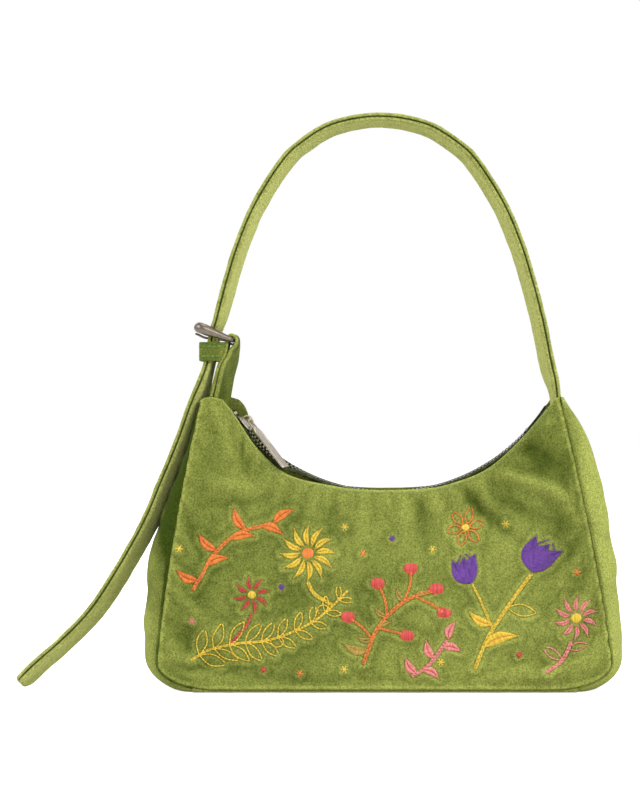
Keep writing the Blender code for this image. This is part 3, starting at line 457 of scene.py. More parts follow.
def thread_look(name, dark, light):
    """Shiny twisted thread."""
    n = Nodes(name)
    twist = n.noise(1, 2, 0.5, n.stretch((2600, 2600, 900), (0.4, 0.3, 0)))
    shade = n.add("ShaderNodeAttribute", attribute_name="shade").outputs["Fac"]
    tone = n.sums("ADD", n.sums("MULTIPLY", twist, 0.6), n.sums("MULTIPLY", shade, 0.16))
    n.join(n.ramp(tone, ((0.12, dark), (0.44, light))), n.shader.inputs["Base Color"])
    n.bump(twist, 0.5, 0.00015)
    n.set(Roughness=0.42, Specular_IOR_Level=0.5, Sheen_Weight=0.2)
    return n.material


def foam_look(name):
    n = Nodes(name)
    cells = n.add("ShaderNodeTexVoronoi")
    cells.inputs["Scale"].default_value = 900
    n.join(n.place, cells.inputs["Vector"])
    n.join(n.ramp(cells.outputs["Distance"], ((0.0, (0.5, 0.49, 0.45)), (0.6, (0.8, 0.79, 0.74)))),
           n.shader.inputs["Base Color"])
    n.bump(cells.outputs["Distance"], 0.5, 0.0003)
    n.set(Roughness=0.95)
    return n.material


def board_look(name):
    n = Nodes(name)
    grain = n.noise(1, 4, 0.6, n.stretch((160, 700, 300)))
    n.join(n.ramp(grain, ((0.3, (0.2, 0.15, 0.09)), (0.7, (0.34, 0.27, 0.17)))), n.shader.inputs["Base Color"])
    n.bump(grain, 0.4, 0.0002)
    n.set(Roughness=0.8)
    return n.material


GREEN = velvet("olive_velvet", (0.046, 0.074, 0.006), (0.335, 0.372, 0.086), 0.34)
# A copy of the olive velvet with less sheen so the sides and tab render darker: painted shade.
SHADED_SIDE_GREEN = velvet("shaded_side_velvet", (0.038, 0.062, 0.005), (0.345, 0.382, 0.092), 0.14)
# A lighter copy of the olive velvet: painted light for the strap's pale, lit faces.
LIT_STRAP_GREEN = velvet("lit_strap_velvet", (0.06, 0.085, 0.008), (0.46, 0.48, 0.15), 0.4)
LINING_LOOK = cloth("cotton_lining", (0.12, 0.14, 0.05), (0.24, 0.26, 0.11), 0.5)
TAPE_LOOK = cloth("zip_tape", (0.02, 0.03, 0.006), (0.055, 0.075, 0.02), 0.7, sheen=0.0)
TEETH_LOOK = metal("dull_teeth", (0.15, 0.135, 0.105), (0.34, 0.31, 0.25), 0.36)
STOP_LOOK = metal("dark_stop", (0.02, 0.02, 0.016), (0.045, 0.042, 0.035), 0.5)
SLIDER_LOOK = metal("champagne_metal", (0.36, 0.315, 0.25), (0.48, 0.43, 0.355), 0.3)
GUN_LOOK = metal("gunmetal", (0.12, 0.1, 0.078), (0.19, 0.16, 0.125), 0.36)
FOAM_LOOK = foam_look("foam_interlining")
BOARD_LOOK = board_look("pressed_board")
SEAM_THREAD = thread_look("seam_thread", (0.12, 0.17, 0.03), (0.24, 0.3, 0.07))
BRIGHT_THREAD = thread_look("bright_thread", (0.05, 0.26, 0.05), (0.16, 0.5, 0.12))


# Shell surfaces.

def height_share(z):
    return clamp(z / TIP_HEIGHT)


def half_width(z):
    return mix(BASE_HALF, TIP_HALF, height_share(z) ** SIDE_CURVE)


def panel_x(across, z):
    return across * half_width(z) - TIP_LEAN * height_share(z)


def seam_floor(across):
    turn = clamp((abs(across) * BASE_HALF - (BASE_HALF - CORNER_W)) / CORNER_W)
    return SEAM_LIFT + CORNER_H * (1 - sqrt(1 - turn * turn))


def mouth_height(side, across):
    """Top edge: the zip's arc, rounded into the tips."""
    z = TIP_HEIGHT
    for _ in range(30):
        reach = panel_x(across, z) - ZIP_X
        turn = atan2(reach, ZIP_Z - z) if side > 0 else asin(min(max(reach / ZIP_R, -1.0), 1.0))
        angle = degrees(turn)
        radius = smooth_table(BACK_MOUTH if side > 0 else FRONT_MOUTH, angle)
        below = radius * radius - reach * reach
        if below <= 0:
            z = TIP_HEIGHT
            break
        z = min(TIP_HEIGHT, ZIP_Z - sqrt(below))
    reach = abs(panel_x(across, TIP_HEIGHT) - ZIP_X)
    brow = smooth_table(BACK_MOUTH if side > 0 else FRONT_MOUTH, copysign(57, across))
    corner = sqrt(brow * brow - (ZIP_Z - TIP_HEIGHT) ** 2)
    z -= (1.2 if side > 0 and across < 0 else 1.5) * exp(-((reach - corner) / 3.4) ** 2)
    outside = (1 - abs(across)) * TIP_HALF
    lift = 1.2 * ease((across - 0.94) / 0.04)
    return z + lift - (2.2 if across < 0 else 0.7) * exp(-outside / 1.6)


def panel_depth(across, rise):
    top = mix(MOUTH_DEPTH, TIP_DEPTH, ease((abs(across) - 0.72) / 0.18))
    return mix(BASE_DEPTH, top, clamp(rise) ** DEPTH_CURVE)


MOUTHS = {}


def mouth_at(side, across):
    key = (side, round(across, 5))
    if key not in MOUTHS:
        MOUTHS[key] = mouth_height(side, across)
    return MOUTHS[key]


def swell(side, x, z, across, rise, to_edge):
    """How far the velvet stands out of the plain shape, in millimetres."""
    folds = FRONT_FOLDS if side < 0 else BACK_FOLDS
    calm = ease(to_edge / 9)
    out = fold_sum(folds, x, z) * calm
    out += 0.9 * ripple(x, side * 40, z, 42, 3.1) * calm
    out += 0.45 * ripple(x, side * 40, z, 17, 7.7) * calm
    out += 0.8 * calm * sin(pi * clamp(rise)) * (1 - across * across)
    near = exp(-to_edge / 5.5) * ease(to_edge / 1.5)
    out += 0.85 * near * ripple(x, 5 * side, z, 6.5, 11.0)
    return out


def seam_roll(distance, radius):
    """Drop of an edge that rolls into its seam."""
    if distance >= radius:
        return 0.0
    return radius - sqrt(max(radius * radius - (radius - distance) ** 2, 0.0))


FIELDS = {}


def drift(side, across, up):
    """Movement that the cloth settled into, read from its grid."""
    if side not in FIELDS:
        return (0.0, 0.0, 0.0)
    columns, rows, moves = FIELDS[side]
    i = min(max(bisect_right(columns, across) - 1, 0), len(columns) - 2)
    j = min(max(bisect_right(rows, up) - 1, 0), len(rows) - 2)
    s = clamp((across - columns[i]) / (columns[i + 1] - columns[i]))
    t = clamp((up - rows[j]) / (rows[j + 1] - rows[j]))
    return [mix(mix(a, b, s), mix(c, d, s), t)
            for a, b, c, d in zip(moves[j][i], moves[j][i + 1], moves[j + 1][i], moves[j + 1][i + 1])]


def settle(side):
    """Let a slightly oversize velvet panel settle, with its border held."""
    columns, rows = fine_columns(76), [k / 50 for k in range(51)]
    n = len(columns)
    points = [panel_point(side, c, r, 0.0, False) for r in rows for c in columns]
    faces = [(j * n + i, j * n + i + 1, (j + 1) * n + i + 1, (j + 1) * n + i)
             for j in range(len(rows) - 1) for i in range(n - 1)]
    item = solid("settling_" + str(side), points, [f if side < 0 else f[::-1] for f in faces], None, outward=False)
    pins = item.vertex_groups.new(name="held")
    for k in range(len(points)):
        i, j = k % n, k // n
        border = min(i, n - 1 - i, j, len(rows) - 1 - j)
        pins.add([k], 1.0 if border < 2 else (0.3 if border == 2 else 0.0), "REPLACE")
    cloth_maker = item.modifiers.new("cloth", "CLOTH")
    settings = cloth_maker.settings
    settings.quality, settings.mass, settings.air_damping = 7, 0.25, 3
    settings.tension_stiffness = settings.compression_stiffness = 12
    settings.shear_stiffness, settings.bending_stiffness = 6, 1.2
    settings.vertex_group_mass, settings.shrink_min, settings.shrink_max = "held", -0.035, -0.035
    settings.use_pressure, settings.uniform_pressure_force = True, 0.5
    settings.effector_weights.gravity = 0.3
    cloth_maker.collision_settings.use_collision = False
    cloth_maker.point_cache.frame_end = SETTLE_FRAMES
    for frame_number in range(1, SETTLE_FRAMES + 1):
        bpy.context.scene.frame_set(frame_number)
    moved = item.evaluated_get(bpy.context.evaluated_depsgraph_get()).to_mesh()
    moves = []
    for k, vert in enumerate(moved.vertices):
        move = vert.co / MM - Vector(points[k])
        if move.length > SETTLE_CAP:
            move *= SETTLE_CAP / move.length
        moves.append(tuple(move))
    bpy.context.scene.frame_set(1)
    bpy.data.objects.remove(item, do_unlink=True)
    FIELDS[side] = (columns, rows, [moves[j * n:(j + 1) * n] for j in range(len(rows))])


def panel_point(side, across, up, inset, rolled=True):
    """A point of a panel, at a depth below its velvet face."""
    floor, top = seam_floor(across), mouth_at(side, across)
    z = mix(floor, top, up)
    x = panel_x(across, z)
    to_side = half_width(z) * (1 - abs(across))
    corner = clamp((abs(across) * BASE_HALF - CORNER_FADE) / CORNER_W)
    to_floor = (z - floor) * sqrt(max(1 - corner ** 2, 0.04))
    to_top = top - z
    edge = min(to_side, to_floor)
    y = panel_depth(across, up) + swell(side, x, z, across, up, min(edge, to_top * 0.9))
    if rolled:
        y -= seam_roll(edge, 1.8) * 0.5
        y -= seam_roll(to_top, 1.1) * 0.6
    dx, dy, dz = drift(side, across, up)
    return x + dx, side * (y - inset) + dy, z + dz


def arc_shares(count):
    limit = acos((ZIP_Z - TIP_HEIGHT) / ZIP_R)
    shares = []
    for k in range(count + 1):
        angle = mix(-limit, limit, k / count)
        z = ZIP_Z - ZIP_R * cos(angle)
        shares.append((ZIP_X + ZIP_R * sin(angle) + TIP_LEAN * height_share(z)) / half_width(z))
    return shares


def fine_columns(count):
    inner = arc_shares(count)
    tips = [1 - d / 110 for d in (0.0, 0.25, 0.7, 1.3, 2.1, 3.2, 5.0, 7.5, 10.5)]
    right = [s for s in reversed(tips) if s > inner[-1] + 0.004]
    left = [-s for s in tips if -s < inner[0] - 0.004]
    return left + inner + right


def fine_rows(count):
    low = [d / 130 for d in (0.0, 0.25, 0.7, 1.3, 2.1, 3.4)]
    high = [1 - d / 130 for d in (2.4, 1.5, 0.9, 0.45, 0.0)]
    middle = [mix(low[-1], high[0], k / count) for k in range(1, count)]
    return low + middle + high


def blurred(grid, reach, turns=3):
    for _ in range(turns):
        for axis in (0, 1):
            pad = np.pad(grid, [(reach, reach) if a == axis else (0, 0) for a in (0, 1)], mode="edge")
            run = np.cumsum(pad, axis=axis)
            first = np.zeros_like(np.take(run, [0], axis=axis))
            run = np.concatenate((first, run), axis=axis)
            size = grid.shape[axis]
            high = np.take(run, range(2 * reach + 1, 2 * reach + 1 + size), axis=axis)
            grid = (high - np.take(run, range(size), axis=axis)) / (2 * reach + 1)
    return grid


def lay_painted_light(piece, values):
    # Per-point tone read by the velvet: mostly painted light and shade.
    attribute = piece.data.attributes.new("pile_and_painted_light", "FLOAT", "POINT")
    attribute.data.foreach_set("value", np.clip(values, -1, 1).astype(np.float32))


def paint_shade_by_form(piece, gain, base=0.0):
    """Painted shade in hollows and painted light on ridges of any mesh, over a base tone."""
    mesh = piece.data
    count = len(mesh.vertices)
    places, normals = np.zeros(count * 3), np.zeros(count * 3)
    mesh.vertices.foreach_get("co", places)
    mesh.vertices.foreach_get("normal", normals)
    places, normals = places.reshape(-1, 3) / MM, normals.reshape(-1, 3)
    edges = np.zeros(len(mesh.edges) * 2, dtype=int)
    mesh.edges.foreach_get("vertices", edges)
    edges = edges.reshape(-1, 2)
    total = np.bincount(edges.ravel(), minlength=count).astype(float) + 1e-9

    def around(values):
        result = np.zeros_like(values)
        np.add.at(result, edges[:, 0], values[edges[:, 1]])
        np.add.at(result, edges[:, 1], values[edges[:, 0]])
        return result / (total[:, None] if values.ndim > 1 else total)

    smooth_places = places
    for _ in range(10):
        smooth_places = (smooth_places + around(smooth_places)) / 2
    height = ((places - smooth_places) * normals).sum(axis=1)
    for _ in range(3):
        height = (height + around(height)) / 2
    lay_painted_light(piece, base + gain * (height - np.median(height)))


PRESSED = []
# Broad painted patches of light and shade on the panels: x, z, width, height, amount.
PAINTED_LIGHT_PATCHES = ((-70, 60, 44, 46, -0.12), (70, 52, 60, 46, 0.24), (12, 8, 110, 16, 0.26), (86, 138, 22, 22, -0.3),
         (-14, 104, 40, 16, 0.25), (60, 104, 30, 14, -0.1), (-90, 130, 22, 20, 0.2), (-112, 90, 12, 40, -0.12))


def panel_painted_light(side, columns, rows):
    """Painted light and shade of a panel: shade in the folds' hollows, light on their ridges, slopes lighter or
    darker by the way they face, broad painted patches, and painted highlights along the mouth and seams.
    """
    heights = np.array([[side * panel_point(side, c, r, 0.0, False)[1] for c in columns] for r in rows])
    plain = np.array([[panel_depth(c, r) for c in columns] for r in rows])
    relief = heights - plain
    low = blurred(relief, 9)
    rise, across = np.gradient(blurred(relief, 1))
    # Painted shade in hollows, painted light on ridges, and slopes painted lighter or darker by the way they face.
    pile_and_painted_light = 0.17 * (relief - low) - 0.24 * across + 0.16 * rise
    for j, r in enumerate(rows):
        for i, c in enumerate(columns):
            floor, top = seam_floor(c), mouth_at(side, c)
            z = mix(floor, top, r)
            x = panel_x(c, z) * (1 if side < 0 else -1)
            for tx, tz, wide, tall, amount in PAINTED_LIGHT_PATCHES:
                reach = ((x - tx) / wide) ** 2 + ((z - tz) / tall) ** 2
                if reach < 5:
                    pile_and_painted_light[j, i] += amount * exp(-reach)
            pile_and_painted_light[j, i] = tanh(pile_and_painted_light[j, i] * 1.8) / 1.8
            edge = min(half_width(z) * (1 - abs(c)), z - floor)
            pile_and_painted_light[j, i] *= 0.35 + 0.65 * ease(edge / 12)
            # Painted highlights along the mouth edge and along the seams.
            pile_and_painted_light[j, i] += 0.8 * exp(-((top - z) / 0.7) ** 2)
            pile_and_painted_light[j, i] += 0.6 * exp(-((edge - 1.4) / 1.1) ** 2)
    return pile_and_painted_light


def make_panel(name, side, node):
    """A panel, with the pile pressed down round the stitches and a painted pale halo and dark ring of shade round
    them.
    """
    columns, rows = fine_columns(230 if side < 0 else 120), fine_rows(150 if side < 0 else 80)
    tree = kdtree.KDTree(max(len(PRESSED), 1))
    for index, place in enumerate(PRESSED if side < 0 else []):
        tree.insert(place, index)
    tree.balance()

    def outer(c, r):
        x, y, z = panel_point(side, c, r, 0.0)
        near = tree.find((x, y, z))[2] if side < 0 else None
        if near is not None and near < 7:
            y += 0.55 * exp(-(near / 1.2) ** 2) - 0.45 * exp(-((near - 3.2) / 1.4) ** 2)
        return x, y, z

    piece = sheet_solid(name, columns, rows, outer,
                        lambda c, r: panel_point(side, c, r, VELVET * (0.9 if r > 0.99 else 1.0), False), GREEN)
    pile_and_painted_light = panel_painted_light(side, columns, rows).ravel()
    if side < 0:
        # A painted pale halo close round the stitches, with a painted dark ring of shade beyond it.
        for index in range(len(pile_and_painted_light)):
            near = tree.find(piece.data.vertices[index].co / MM)[2]
            if near < 8:
                pile_and_painted_light[index] += 0.3 * exp(-((near - 1.6) / 1.3) ** 2) - 0.18 * exp(-((near - 4.2) / 1.6) ** 2)
    # The inner face gets an even painted light.
    lay_painted_light(piece, np.concatenate((pile_and_painted_light, np.full(len(pile_and_painted_light), 0.4))))
    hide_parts(node)
    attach(piece, "bag")
    return piece


def make_layer(name, side, node, inset, thick, material, limit=1.0, low=0.0, high=0.92):
    columns = [c for c in fine_columns(100) if abs(c) <= limit]
    rows = [mix(low, high, k / 60) for k in range(61)]
    piece = sheet_solid(name, columns, rows,
                        lambda c, r: panel_point(side, c, r, inset, False),
                        lambda c, r: panel_point(side, c, r, inset + thick, False), material)
    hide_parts(node)
    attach(piece, "bag")
    return piece


def side_path(corner_rows, side_rows):
    points = []
    for k in range(corner_rows):
        angle = mix(CROSS_ANGLE, pi / 2, k / corner_rows)
        z = SEAM_LIFT + CORNER_H * (1 - cos(angle))
        reach = (BASE_HALF - CORNER_W + CORNER_W * sin(angle)) * half_width(z) / BASE_HALF
        points.append((reach, z, sin(angle), -cos(angle)))
    for k in range(side_rows + 1):
        z = mix(SEAM_LIFT + CORNER_H, TIP_HEIGHT - 1.5, k / side_rows)
        points.append((half_width(z), z, 1.0, 0.0))
    return points


RIGHT_FOLDS = ((-0.55, 84, 0.42, 6, -1.7), (-0.45, 56, 0.45, 6, -1.4), (-0.55, 70, 0.4, 6, 0.9),
               (-0.5, 112, 0.4, 7, 0.8), (0.5, 106, 0.5, 6, -1.3), (0.5, 62, 0.5, 6, -1.1), (-0.5, 34, 0.5, 7, 0.7))
LEFT_FOLDS = ((-0.5, 90, 0.5, 6, -1.2), (-0.4, 52, 0.5, 6, -1.0), (-0.5, 36, 0.5, 7, 0.8), (-0.5, 72, 0.5, 6, 0.8),
              (0.5, 80, 0.5, 6, -1.0))


def gusset_point(side, path, row, w, inset, velvet_face):
    seam, z, out_x, out_z = path[row]
    rise = (z - SEAM_LIFT - CORNER_H) / (TIP_HEIGHT - SEAM_LIFT - CORNER_H)
    narrower = 0.0 if velvet_face else VELVET + FOAM + LINING + 3 * GAP
    depth = panel_depth(1.0, rise) - narrower
    amount = BULGE * table(BULGE_FREE if side > 0 else BULGE_PRESSED, height_share(z))
    if side > 0:
        amount *= (1 - 0.97 * max((height_share(z) - 0.75) / 0.25, 0) ** 2) ** 0.8
    full = (1 - abs(w) ** 2.5) ** 0.7
    calm = ease((1 - abs(w)) / 0.3) * ease(row / 4)
    for fw, fz, sw, sz, height in (RIGHT_FOLDS if side > 0 else LEFT_FOLDS):
        amount += height * exp(-((w - fw) / sw) ** 2 - ((z - fz) / sz) ** 2) * calm * min(1.0, amount / 3)
    wave = 0.4 * ripple(w * 22, side * 9, z, 24, 5.0) + 0.25 * ripple(w * 22, side * 9, z, 9, 2.0)
    amount += wave * calm * min(1.0, amount / 3)
    amount += 0.8 * exp(-(1 - abs(w)) * depth / 5) * ease((1 - abs(w)) * depth / 1.2) * ripple(w * 9, side, z, 6, 1.0)
    out = SEAM_GAP + max(amount - inset, 0) * full if velvet_face else SEAM_GAP + amount * full - inset
    if velvet_face and inset == 0:
        out -= seam_roll((1 - abs(w)) * depth, 1.5) * 0.3
    x = seam + out_x * (out if row > 0 else SEAM_GAP)
    foot = z + out_z * out
    drop = (2.0 * abs(w) ** 2 if side < 0 else -1.8) * ease((rise - 0.96) / 0.04) if velvet_face else 0.0
    return side * x - TIP_LEAN * height_share(z), w * depth, max(foot - drop, inset)


def gusset_painted_shade(side, ws, rows, path):
    """Painted shade of a side: darker above, most on the left where the tail's shadow falls, darker by its seams,
    lighter and darker along its folds and streaks, the left side painted darker overall than the right.
    """
    plain, seam_shade = (0.46, 0.25) if side > 0 else (0.3, 0.4)
    tone = []
    for r in rows:
        for w in ws:
            height = path[r][1]
            seam = exp(-((1 - abs(w)) / 0.28) ** 2)
            # Painted shadow of the tail on the left side's upper part; the right side painted darker at its top.
            dark = 1.2 * ease((height - 36) / 62) if side < 0 else 0.4 * ease((height - 96) / 50)
            fold_paint = sum(high * exp(-((w - fw) / sw) ** 2 - ((height - fz) / sz) ** 2)
                       for fw, fz, sw, sz, high in (RIGHT_FOLDS if side > 0 else LEFT_FOLDS))
            painted_streak = 0.2 * sin(height / 7.5 + 5 * abs(w)) * exp(-((abs(w) - 0.6) / 0.4) ** 2)
            tone.append(plain - dark - seam_shade * seam + 0.12 * fold_paint + 0.5 * painted_streak)
    return np.array(tone * 2)


def make_gusset(side, word, node, velvet_face=True):
    path = side_path(14, 56) if velvet_face else side_path(8, 26)
    steps = (0.0, 0.012, 0.035, 0.07, 0.12, 0.19, 0.28, 0.38, 0.49, 0.6, 0.72, 0.86, 1.0)
    ws = [-1 + s for s in steps] + [1 - s for s in reversed(steps[:-1])]
    rows = list(range(len(path) if velvet_face else len(path) - 2))
    inset, thick = (0.0, VELVET) if velvet_face else (VELVET + GAP, LINING)
    piece = sheet_solid(word, ws, rows,
                        lambda c, r: gusset_point(side, path, r, c, inset, velvet_face),
                        lambda c, r: gusset_point(side, path, r, c, inset + thick, velvet_face),
                        SHADED_SIDE_GREEN if velvet_face else LINING_LOOK)
    if velvet_face:
        # Painted shade and light of the side's folds and hollows.
        paint_shade_by_form(piece, 0.9, gusset_painted_shade(side, ws, rows, path))
    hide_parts(node)
    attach(piece, "bag")
    return piece


def make_base():
    half = BASE_HALF - CORNER_W + CORNER_W * sin(CROSS_ANGLE) - SEAM_GAP
    stations = [mix(-half, half, k / 110) for k in range(111)]
    ws = [-1, -0.99, -0.97, -0.94, -0.9, -0.8, -0.6, -0.3, 0, 0.3, 0.6, 0.8, 0.9, 0.94, 0.97, 0.99, 1]

    def place(w, x, height):
        pucker = 0.35 * ripple(x, w * 3, 0, 6, 4.0)
        edge = seam_floor(x / BASE_HALF) - SEAM_GAP
        near = ease((abs(w) - 0.9) / 0.1)
        depth = BASE_DEPTH - (height if abs(w) == 1 else 0) + 0.4 * sin(pi * near)
        z = mix(height, max(edge, height), near ** 2)
        return x, w * depth + copysign(pucker * near, w), max(z + pucker * near * (1 - near), height)

    piece = sheet_solid("base_velvet", ws, stations, lambda c, r: place(c, r, 0.0),
                        lambda c, r: place(c, r, VELVET), GREEN)
    # Painted shade in the base's hollows and painted light on its ridges.
    paint_shade_by_form(piece, 1.5, 0.4)
    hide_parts("base_gusset")
    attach(piece, "bag")
    return piece


def zip_tilt(angle):
    """The zip leans a little further forward by the slider."""
    return radians(ZIP_TILT + 6 * (1 - ease((degrees(angle) + 48) / 30)) + 26 * zip_roll(angle))


def zip_roll(angle):
    """Where the chain rolls towards the front edge, just past the slider."""
    place = degrees(angle)
    return ease((place + 47.5) / 4) * (1 - ease((place + 37) / 12))


def on_arc(angle, y, lift):
    near = min(max(y, -MOUTH_DEPTH), TOOTH_REACH)
    radius = ZIP_R + 1.5 * zip_roll(angle) - near * tan(zip_tilt(angle)) - (y - near) * tan(TAPE_LEAN) - lift
    return ZIP_X + radius * sin(angle), y, ZIP_Z - radius * cos(angle)


def zip_matrix(angle):
    along = Vector((cos(angle), 0, sin(angle)))
    up = Vector((-sin(angle), 0, cos(angle)))
    turn = Matrix((along, Vector((0, 1, 0)), up)).transposed().to_4x4()
    place = Vector(on_arc(angle, 0, 0)) * MM
    return Matrix.Translation(place) @ turn @ Matrix.Rotation(zip_tilt(angle), 4, "X")


# A tooth's rings, as reach, half width and half height, and the corners of each ring.
TOOTH = ((0.15, 0.42, 0.55), (0.55, 0.52, 0.72), (1.1, 0.46, 0.78), (1.7, 0.55, 0.8), (2.25, 0.5, 0.72))
OCTAGON = ((-1, -0.7), (-0.7, -1), (0.7, -1), (1, -0.7), (1, 0.7), (0.7, 1), (-0.7, 1), (-1, 0.7))
TOOTH_PITCH = 2.35


def make_zip():
    for side, word in ((-1, "front"), (1, "back")):
        rows = [mix(TAPE_START, TAPE_END, k / 150) for k in range(151)]
        near, far = TOOTH_REACH, MOUTH_DEPTH - VELVET - GAP
        columns = [near, near + 0.15, near + 0.4, mix(near, far, 0.5), far - 0.3, far]

        def cord_edge(y):
            return 0.25 * exp(-((y - near - 0.25) / 0.25) ** 2)

        tape = sheet_solid("tape_" + word, columns, rows,
                           lambda c, r: on_arc(r, side * c, TAPE_HALF + cord_edge(c)),
                           lambda c, r: on_arc(r, side * c, -TAPE_HALF - cord_edge(c)), TAPE_LOOK)
        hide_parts("zip_tape_" + word)
        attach(tape, "bag")
        pitch = TOOTH_PITCH / ZIP_R
        count = int((ZIP_END - ZIP_START) / pitch)
        verts, faces = [], []
        for k in range(count):
            angle = ZIP_START + (k + (0.25 if side < 0 else 0.75)) * pitch
            matrix = zip_matrix(angle)
            start = len(verts)
            for y, half_x, half_z in TOOTH:
                for ax, az in OCTAGON:
                    p = matrix @ (Vector((ax * half_x, side * y, az * half_z)) * MM) / MM
                    verts.append(tuple(p))
            for j in range(len(TOOTH) - 1):
                for i in range(8):
                    a, b = start + j * 8 + i, start + j * 8 + (i + 1) % 8
                    faces.append((a, b, b + 8, a + 8))
            faces.append(tuple(start + i for i in range(8)))
            faces.append(tuple(start + (len(TOOTH) - 1) * 8 + i for i in range(8)))
        teeth = solid("teeth_" + word, verts, faces, TEETH_LOOK)
        teeth.data.set_sharp_from_angle(angle=radians(50))
        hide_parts("zip_teeth_" + word)
        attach(teeth, "bag")
        turn = (2.2 / ZIP_R) / 2
        stop = plate("top_stop_" + word, [rounded(-1.1, 1.1, -0.85, 0.85, 0.5)], 2.2, 0.35,
                     zip_matrix(ZIP_START - GAP / ZIP_R - turn) @ Matrix.Translation((0, side * 1.35 * MM, 0)),
                     SLIDER_LOOK)
        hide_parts("zip_top_stop_" + word)
        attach(stop, "bag")
    stop = plate("bottom_stop", [rounded(-1.1, 1.1, -2.2, 2.2, 0.7)], 2.2, 0.4,
                 zip_matrix(ZIP_END + GAP / ZIP_R + 1.1 / ZIP_R), STOP_LOOK)
    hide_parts("zip_bottom_stop")
    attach(stop, "bag")


def make_slider():
    matrix = zip_matrix(SLIDER_AT)
    inner = TOOTH_HALF + GAP
    nose = [(4.5, -1.9), (4.5, 1.9), (3.6, 2.9), (1.5, 3.5), (-1.5, 3.7), (-3.6, 3.5), (-4.5, 2.4), (-4.3, 0.7),
            (-3.4, 0.0), (-4.3, -0.7), (-4.5, -2.4), (-3.6, -3.5), (-1.5, -3.7), (1.5, -3.5), (3.6, -2.9)]
    pieces = []
    for sign in (1, -1):
        lift = Matrix.Translation((0, 0, sign * (inner + SLIDER_PLATE / 2) * MM))
        pieces.append(plate("slider_plate", [nose], SLIDER_PLATE, 0.22, matrix @ lift, SLIDER_LOOK))
    pieces.append(plate("slider_web", [rounded(-4.0, 3.6, -0.2, 0.2, 0.15, 2)], 2 * inner + 0.2, 0.05, matrix,
                        SLIDER_LOOK, 1))
    points, radii = [], []
    for k in range(25):
        angle = pi * (1 - k / 24)
        height = inner + SLIDER_PLATE - BRIDGE_WIRE + BRIDGE_RISE * sqrt(max(sin(angle), 0))
        points.append(matrix @ (Vector((BRIDGE_HALF * cos(angle), 0, height)) * MM) / MM)
        radii.append(BRIDGE_WIRE)
    pieces.append(tube("slider_bridge", points, radii, SLIDER_LOOK, 14))
    slider = join("slider_body", pieces)
    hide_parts("zip_slider")
    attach(slider, "slider")


def pull_matrix():
    """Place of the pull: its bar under the bridge, its tip forward and to the right."""
    face = TOOTH_HALF + GAP + SLIDER_PLATE
    base = zip_matrix(SLIDER_AT) @ Matrix.Translation((0, 0, (face + BRIDGE_INSIDE - PULL_HALF) * MM))
    turn = Matrix.Rotation(PULL_LIFT, 4, "Y") @ Matrix.Rotation(PULL_TURN, 4, "Z")
    return base @ turn @ Matrix.Rotation(PULL_ROLL, 4, "X")


def make_pull():
    head, body, neck, bar, end, tip = 2.4, 3.3, 6.7, PULL_HALF, 1.1, 34
    outline = [(-bar, -head + end), (-bar + 0.3, -head + 0.35), (-bar + end, -head), (neck, -head),
               (neck + head, -body), (tip - end, -body), (tip - 0.3, -body + 0.3), (tip, -body + end),
               (tip, body - end), (tip - 0.3, body - 0.3), (tip - end, body), (neck + head, body), (neck, head),
               (-bar + end, head), (-bar + 0.3, head - 0.35), (-bar, head - end)]
    slot = [(bar, -1.45), (bar, 1.45), (neck - 1.45, 1.45), (neck - 0.42, 1.0), (neck, 0), (neck - 0.42, -1.0),
            (neck - 1.45, -1.45)]
    matrix = pull_matrix()
    pieces = [plate("pull_plate", [outline, slot], 0.8, 0.2, matrix, SLIDER_LOOK)]
    rim_out = [(neck + head - 0.2, -body), (tip - end, -body), (tip, -body + end), (tip, body - end),
               (tip - end, body), (neck + head - 0.2, body), (neck - 0.6, head), (neck - 0.6, -head)]
    rim_in = [(neck + head + 0.4, -body + 1.0), (tip - end - 0.5, -body + 1.0), (tip - 1.0, -body + end + 0.5),
              (tip - 1.0, body - end - 0.5), (tip - end - 0.5, body - 1.0), (neck + head + 0.4, body - 1.0),
              (neck + 0.8, head - 1.1), (neck + 0.8, -head + 1.1)]
    pieces.append(plate("pull_rim", [rim_out, rim_in], 1.1, 0.18, matrix, SLIDER_LOOK))
    pull = join("pull_bar", pieces)
    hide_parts("zip_pull")
    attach(pull, "pull")


# Strap.

def route_points():
    points = []
    for reach, rise in TAIL:
        z = mix(TAIL_END, KEEPER_LOW, rise)
        points.append((-half_width(z) - 80 * reach, z))
    points.append((KEEPER_X, KEEPER_LOW))
    for across, rise in ((0.23, 0.59), (0.34, 1.0)):
        points.append((KEEPER_X + 8.4 * across, KEEPER_LOW + 16.85 * rise))
    for across, rise in ARCH:
        points.append((STRAP_X - SPAN * across, ROOT_Z + RISE * rise))
    points.append((STRAP_X, ROOT_Z + RISE))
    for across, rise in tuple(reversed(ARCH)) + FLANK:
        points.append((STRAP_X + SPAN * across, ROOT_Z + RISE * rise))
    points.append((STRAP_X + SPAN, ROOT_END))
    return points


def sample_route():
    points = route_points()
    samples, length = [], 0.0
    for k in range(ROUTE_STEPS + 1):
        place = Vector(spline(points, k / ROUTE_STEPS))
        if samples:
            length += (place - samples[-1][1]).length
        samples.append((length, place))
    return samples


ROUTE_STEPS = 2400
ROUTE = sample_route()
ROUTE_LENGTHS = [length for length, _ in ROUTE]


def route_at(length):
    low = min(max(bisect_right(ROUTE_LENGTHS, length) - 1, 0), len(ROUTE) - 2)
    high = low + 1
    share = (length - ROUTE[low][0]) / (ROUTE[high][0] - ROUTE[low][0])
    along = (ROUTE[min(high + 11, len(ROUTE) - 1)][1] - ROUTE[max(low - 11, 0)][1]).normalized()
    return ROUTE[low][1].lerp(ROUTE[high][1], share), Vector((along.y, -along.x))


def length_at(z):
    for length, place in ROUTE:
        if place.y >= z:
            return length
    return ROUTE[-1][0]


